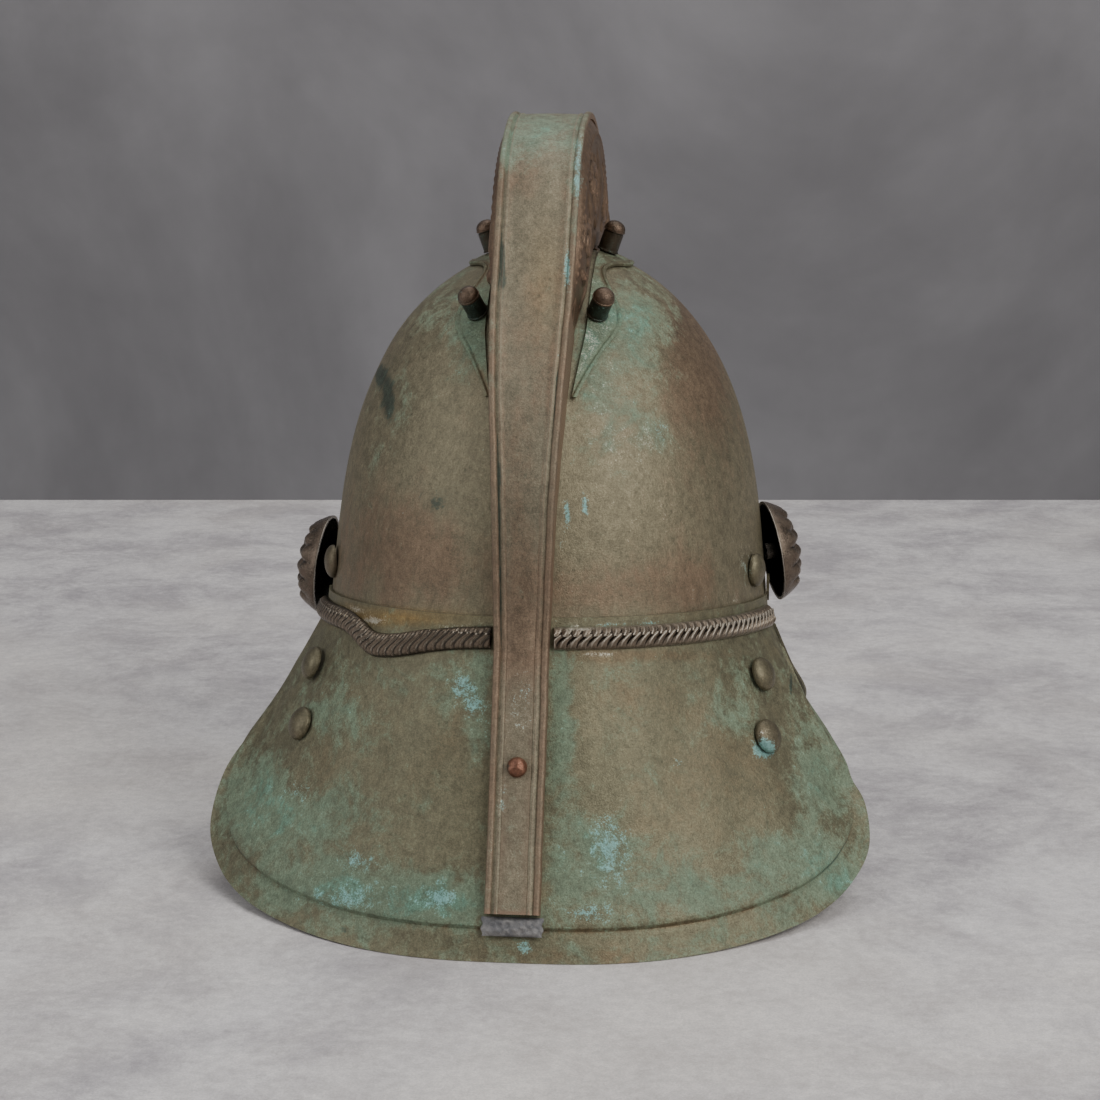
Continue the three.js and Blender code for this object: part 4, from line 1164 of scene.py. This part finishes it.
def add_posts():
    profile = post_profile()
    rows = [(0, 0.2, 0.45)] * 7 + [(0, 0.8, 0.1)] * (len(profile) - 7)
    for word, side in SIDES:
        for k, angle in enumerate(POST_ANGLES, 1):
            seat = on_skull(float(angle), side * POST_OFFSET, FOOT_WALL + 2 * SEAT_GAP + EXTRA_GAP)
            turned(f"post_{word}_{k}", profile, seat, skull_normal(seat), post_brass,
                   [f"foot_post_{word}_{k}"], 32, stain_and_shade_rows=rows)


def rivet_lumps(radius, turn):
    lumps = 0.3 * np.sin(turn * 3 + 0.5) + 0.12 * np.sin(turn * 5)
    inside = (radius > 0.5) * (radius < STRIP_RIVET_RADIUS * 0.97)
    return lumps * radius / STRIP_RIVET_RADIUS * inside


def add_strip_rivet():
    crest, normal, _, _ = guard_station(STRIP_RIVET_SHARE)
    seat = crest + normal * (SEAT_GAP - RIDGE_BEAD * 0.5)
    turned("copper_rivet", head_profile(STRIP_RIVET_RADIUS, STUD_DOME * 0.9), seat, normal,
           rivet_copper, ["strip_rivet"], relief=rivet_lumps)


def add_studs():
    """Skull studs and the neck guard's rivets"""
    angle = pi / 2 - asin(2 * STUD_SETBACK / SKULL_LENGTH)
    seat = on_wall(angle, STUD_HEIGHT, seat_over(STUD_RADIUS))
    out = unit(on_wall(angle, STUD_HEIGHT, 1 + seat_over(STUD_RADIUS)) - seat)
    profile = head_profile(STUD_RADIUS, STUD_DOME)
    for word, side in SIDES:
        mirror = np.array([side, 1, 1])
        turned(f"stud_{word}", profile, seat * mirror, out * mirror, rivet_brass,
               [f"side_stud_{word}"])
        for k, (share, down) in enumerate(GUARD_RIVETS, 1):
            on_side = share if side > 0 else 1 - share
            normal = guard_normal(on_side, down)
            foot = on_guard(on_side, down, GUARD_RIM_STEP) + normal * seat_over(STUD_RADIUS)
            turned(f"guard_rivet_{word}_{k}", profile, foot, normal, rivet_brass,
                   [f"peak_rivet_{word}_{k}"])


def flower_relief(radius, turn):
    """Generic flower: a boss, a ring of petals and a ring of beads"""
    share = radius / ROSETTE_RADIUS
    petals = np.abs(np.cos(turn * 4)) ** 0.7 * np.exp(-(((share - 0.42) / 0.15) ** 2)) * 2.2
    beads = np.abs(np.cos(turn * 7)) ** 0.8 * np.exp(-(((share - 0.78) / 0.12) ** 2)) * 2.4
    boss = 1.3 * np.exp(-((share / 0.16) ** 2))
    outer_groove = 0.8 * np.exp(-(((share - 0.61) / 0.035) ** 2))
    inner_groove = 0.7 * np.exp(-(((share - 0.25) / 0.03) ** 2))
    return petals + beads + boss - outer_groove - inner_groove - 0.6


def rosette_seat(side, height, axis):
    """Foot of a rosette's shank, its nearest corner just clear of the skull"""
    lean = (1 - axis[0] ** 2) ** 0.5
    reach = SHANK_RADIUS * abs(axis[0]) / lean
    corner = skull_beside(-ROSETTE_FORWARD + reach * axis[1], height + reach * axis[2])
    out = corner + SEAT_GAP + SHANK_RADIUS * lean
    return np.array([side * out, -ROSETTE_FORWARD, height])


def rosette_profile(stand_off):
    """Shank, hollow inside and outer face, and how many points come before the face"""
    r = ROSETTE_RADIUS
    top_of_shank = stand_off + ROSETTE_DOME - ROSETTE_WALL * 1.8
    profile = [(0, 0), (SHANK_RADIUS, 0), (SHANK_RADIUS, top_of_shank)]
    for a in np.linspace(0.15, 1, 16) * pi / 2:
        x = (r - ROSETTE_WALL) * sin(a)
        if x > SHANK_RADIUS + ROSETTE_WALL:
            profile.append((x, (ROSETTE_DOME - ROSETTE_WALL) * cos(a) + stand_off))
    inside = len(profile)
    face = [(r * sin(a), ROSETTE_DOME * cos(a) + stand_off) for a in np.linspace(1, 0, 44) * pi / 2]
    return profile + face, inside


def add_rosettes():
    for word, side, height, stand_off, turn, tilt in ROSETTES:
        axis = unit(np.array([side, -np.tan(radians(turn)), np.tan(radians(tilt))]))
        profile, inside = rosette_profile(stand_off)
        # The shank, the hollow inside and the rim get dark 1.6, which turns them near black: painted shade
        # in the rosette's hollow
        rows = [(0, 0, 1.6)] * (inside + 1) + [(0, 0, 0)] * (len(profile) - inside - 1)
        turned(f"rosette_{word}_flower", profile, rosette_seat(side, height, axis), axis, rosette_brass,
               [f"rosette_{word}"], 112, flower_relief, inside + 2, rows)


# Rope band

def rope_line(share):
    width = np.where(share < ROPE_LOW_SHARE, 0.04, 0.07)
    return -ROPE_DROP - ROPE_SAG * np.exp(-(((share - ROPE_LOW_SHARE) / width) ** 2))


def share_beside(x):
    """Share of the guard's edge whose joint lies at a distance to the right"""
    shares = np.linspace(0.5, 0.75, 2000)
    places = guard_at_height(shares, np.zeros(2000), 0.0)[:, 0]
    return float(np.interp(x, places, shares))


def add_rope(name, node, start, end):
    share = np.linspace(start, end, 620)[:, None]
    across = np.linspace(-0.5, 0.5, 23)[None, :]
    line = rope_line(share)
    middle = guard_at_height(share[:, 0], line[:, 0], 0.0)
    walked = walked_along(middle)[:, None]
    bend = ROPE_SLANT * (across + 0.16 * np.sin(across * 2 * pi))
    phase = (walked - bend) / ROPE_PITCH
    round_off = np.clip(1 - np.abs(across / 0.5) ** 3, 0, 1) ** 0.6
    lobe = np.abs(np.sin(pi * phase)) ** 0.45
    second = 0.12 * np.abs(np.sin(2 * pi * phase + 0.6))
    depth = ROPE_DEPTH * (0.12 + round_off * (0.34 + 0.56 * lobe - second))
    outer = guard_at_height(share, line + across * ROPE_HEIGHT, SEAT_GAP + depth)
    inner = guard_at_height(share, line + across * ROPE_HEIGHT, SEAT_GAP)
    salts = np.zeros((*depth.shape, 3))
    salts[..., 1] = 0.42 * (1 - lobe) * soft_step(np.sin(walked * 0.09 + 1.3), 0.1, 0.9)
    salts = salts.reshape(-1, 3)
    points, faces = closed_sheet(placed(outer), placed(inner))
    make_piece(name, points, faces, rope_brass, [node], sharp=70,
               salts=np.concatenate([salts, salts * 0]))


def add_ropes():
    clear = share_beside(RIDGE_TAIL_WIDTH / 2 + 3 * SEAT_GAP)
    add_rope("rope_right", "rope_band_rear_right", clear, 1 - ROPE_EAR_SHARE)
    add_rope("rope_left", "rope_band_rear_left", ROPE_EAR_SHARE, 1 - clear)


def add_patch():
    """Lump of lead over the strip's lower end"""
    half = RIDGE_TAIL_WIDTH / 2 + 1
    start = RIDGE_END_SHARE + 0.008
    down = np.linspace(start, start + PATCH_LENGTH / GUARD_DROP, 26)[:, None]
    c = np.linspace(-1, 1, 60)[None, :]
    k = np.linspace(-1, 1, 26)[:, None]
    crown = np.clip(1 - np.abs(c) ** 5, 0, 1) * np.clip(1 - np.abs(k) ** 4, 0, 1)
    ripple = 0.22 * np.sin(c * 9 + k * 2) + 0.18 * np.sin(c * 21 - k * 5 + 1) + 0.15 * np.sin(k * 7 + c * 3)
    lift = PATCH_THICKNESS * (0.35 + 0.6 * crown) + ripple * crown

    def face(rise):
        p = on_guard(0.5, down, GUARD_RIM_STEP + SEAT_GAP + rise)
        p = np.broadcast_to(p, (*np.broadcast_shapes(down.shape, c.shape), 3)).copy()
        p[..., 0] = c * half * (1 + 0.03 * np.sin(k * 6))
        return placed(p)

    points, faces = closed_sheet(face(lift), face(0.0))
    make_piece("lead_patch", points, faces, lead_material(), ["solder_patch"])


def dress_nodes():
    """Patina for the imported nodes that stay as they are"""
    for node in ("rope_band_front", "strap_tongue"):
        for thing in bpy.data.objects:
            if thing.name == node and thing.type == "MESH":
                thing.data.materials.clear()
                thing.data.materials.append(rivet_brass)


# Table, wall, light and camera

def flat_piece(name, corners, material):
    mesh = bpy.data.meshes.new(name)
    mesh.from_pydata([tuple(c) for c in corners], [], [(0, 1, 2, 3)])
    mesh.materials.append(material)
    piece = bpy.data.objects.new(name, mesh)
    bpy.context.scene.collection.objects.link(piece)


def add_stage():
    ahead = np.array([-sin(CAMERA_AZIMUTH), cos(CAMERA_AZIMUTH), 0.0])
    far = ahead * TABLE_EDGE
    near = -ahead * 1.6
    side = RIGHT * 1.6
    flat_piece("table_top", [near - side, near + side, far + side, far - side], table_material())
    wall_foot = ahead * (TABLE_EDGE + 0.5) + (0, 0, -0.6)
    tall = np.array([0, 0, 2.6])
    wide = RIGHT * 2.4
    wall = [wall_foot - wide, wall_foot + wide, wall_foot + wide + tall, wall_foot - wide + tall]
    flat_piece("backdrop", wall, wall_material())


def look_at(place, target):
    direction = Vector(target) - Vector(place)
    return direction.to_track_quat("-Z", "Y").to_euler()


def add_light(name, place, target, size, power, colour):
    data = bpy.data.lights.new(name, "AREA")
    data.shape = "RECTANGLE"
    data.size, data.size_y = size
    data.energy = power
    data.color = colour
    light = bpy.data.objects.new(name, data)
    light.location = place
    light.rotation_euler = look_at(place, target)
    bpy.context.scene.collection.objects.link(light)


def add_lights():
    middle = (0, 0, 0.15)
    add_light("softbox_right", (1.3, -1.1, 1.25), middle, (1.3, 1.3), 29, (1.0, 0.985, 0.965))
    add_light("softbox_left", (-1.5, -0.9, 1.0), middle, (1.4, 1.4), 13, (0.97, 0.985, 1.0))
    add_light("softbox_top", (0.1, 0.3, 1.7), middle, (1.8, 1.4), 13, (1.0, 1.0, 1.0))
    world = bpy.data.worlds.new("room")
    world.use_nodes = True
    background = world.node_tree.nodes["Background"]
    background.inputs["Color"].default_value = (0.5, 0.5, 0.51, 1)
    background.inputs["Strength"].default_value = 0.55
    bpy.context.scene.world = world


def add_camera():
    data = bpy.data.cameras.new("photo_camera")
    data.sensor_width = 36
    data.lens = FOCAL / PHOTO_SIZE * data.sensor_width
    camera = bpy.data.objects.new("photo_camera", data)
    axes = Matrix([RIGHT, UP, BACK]).transposed().to_4x4()
    place = CAMERA_TARGET + BACK * CAMERA_DISTANCE
    camera.matrix_world = Matrix.Translation(Vector(place.tolist())) @ axes
    bpy.context.scene.collection.objects.link(camera)
    bpy.context.scene.camera = camera


add_skull()
add_guard()
add_visor()
add_ridge()
add_comb_sides()
add_feet()
add_posts()
add_studs()
add_strip_rivet()
add_rosettes()
add_ropes()
add_patch()
dress_nodes()
add_stage()
add_lights()
add_camera()
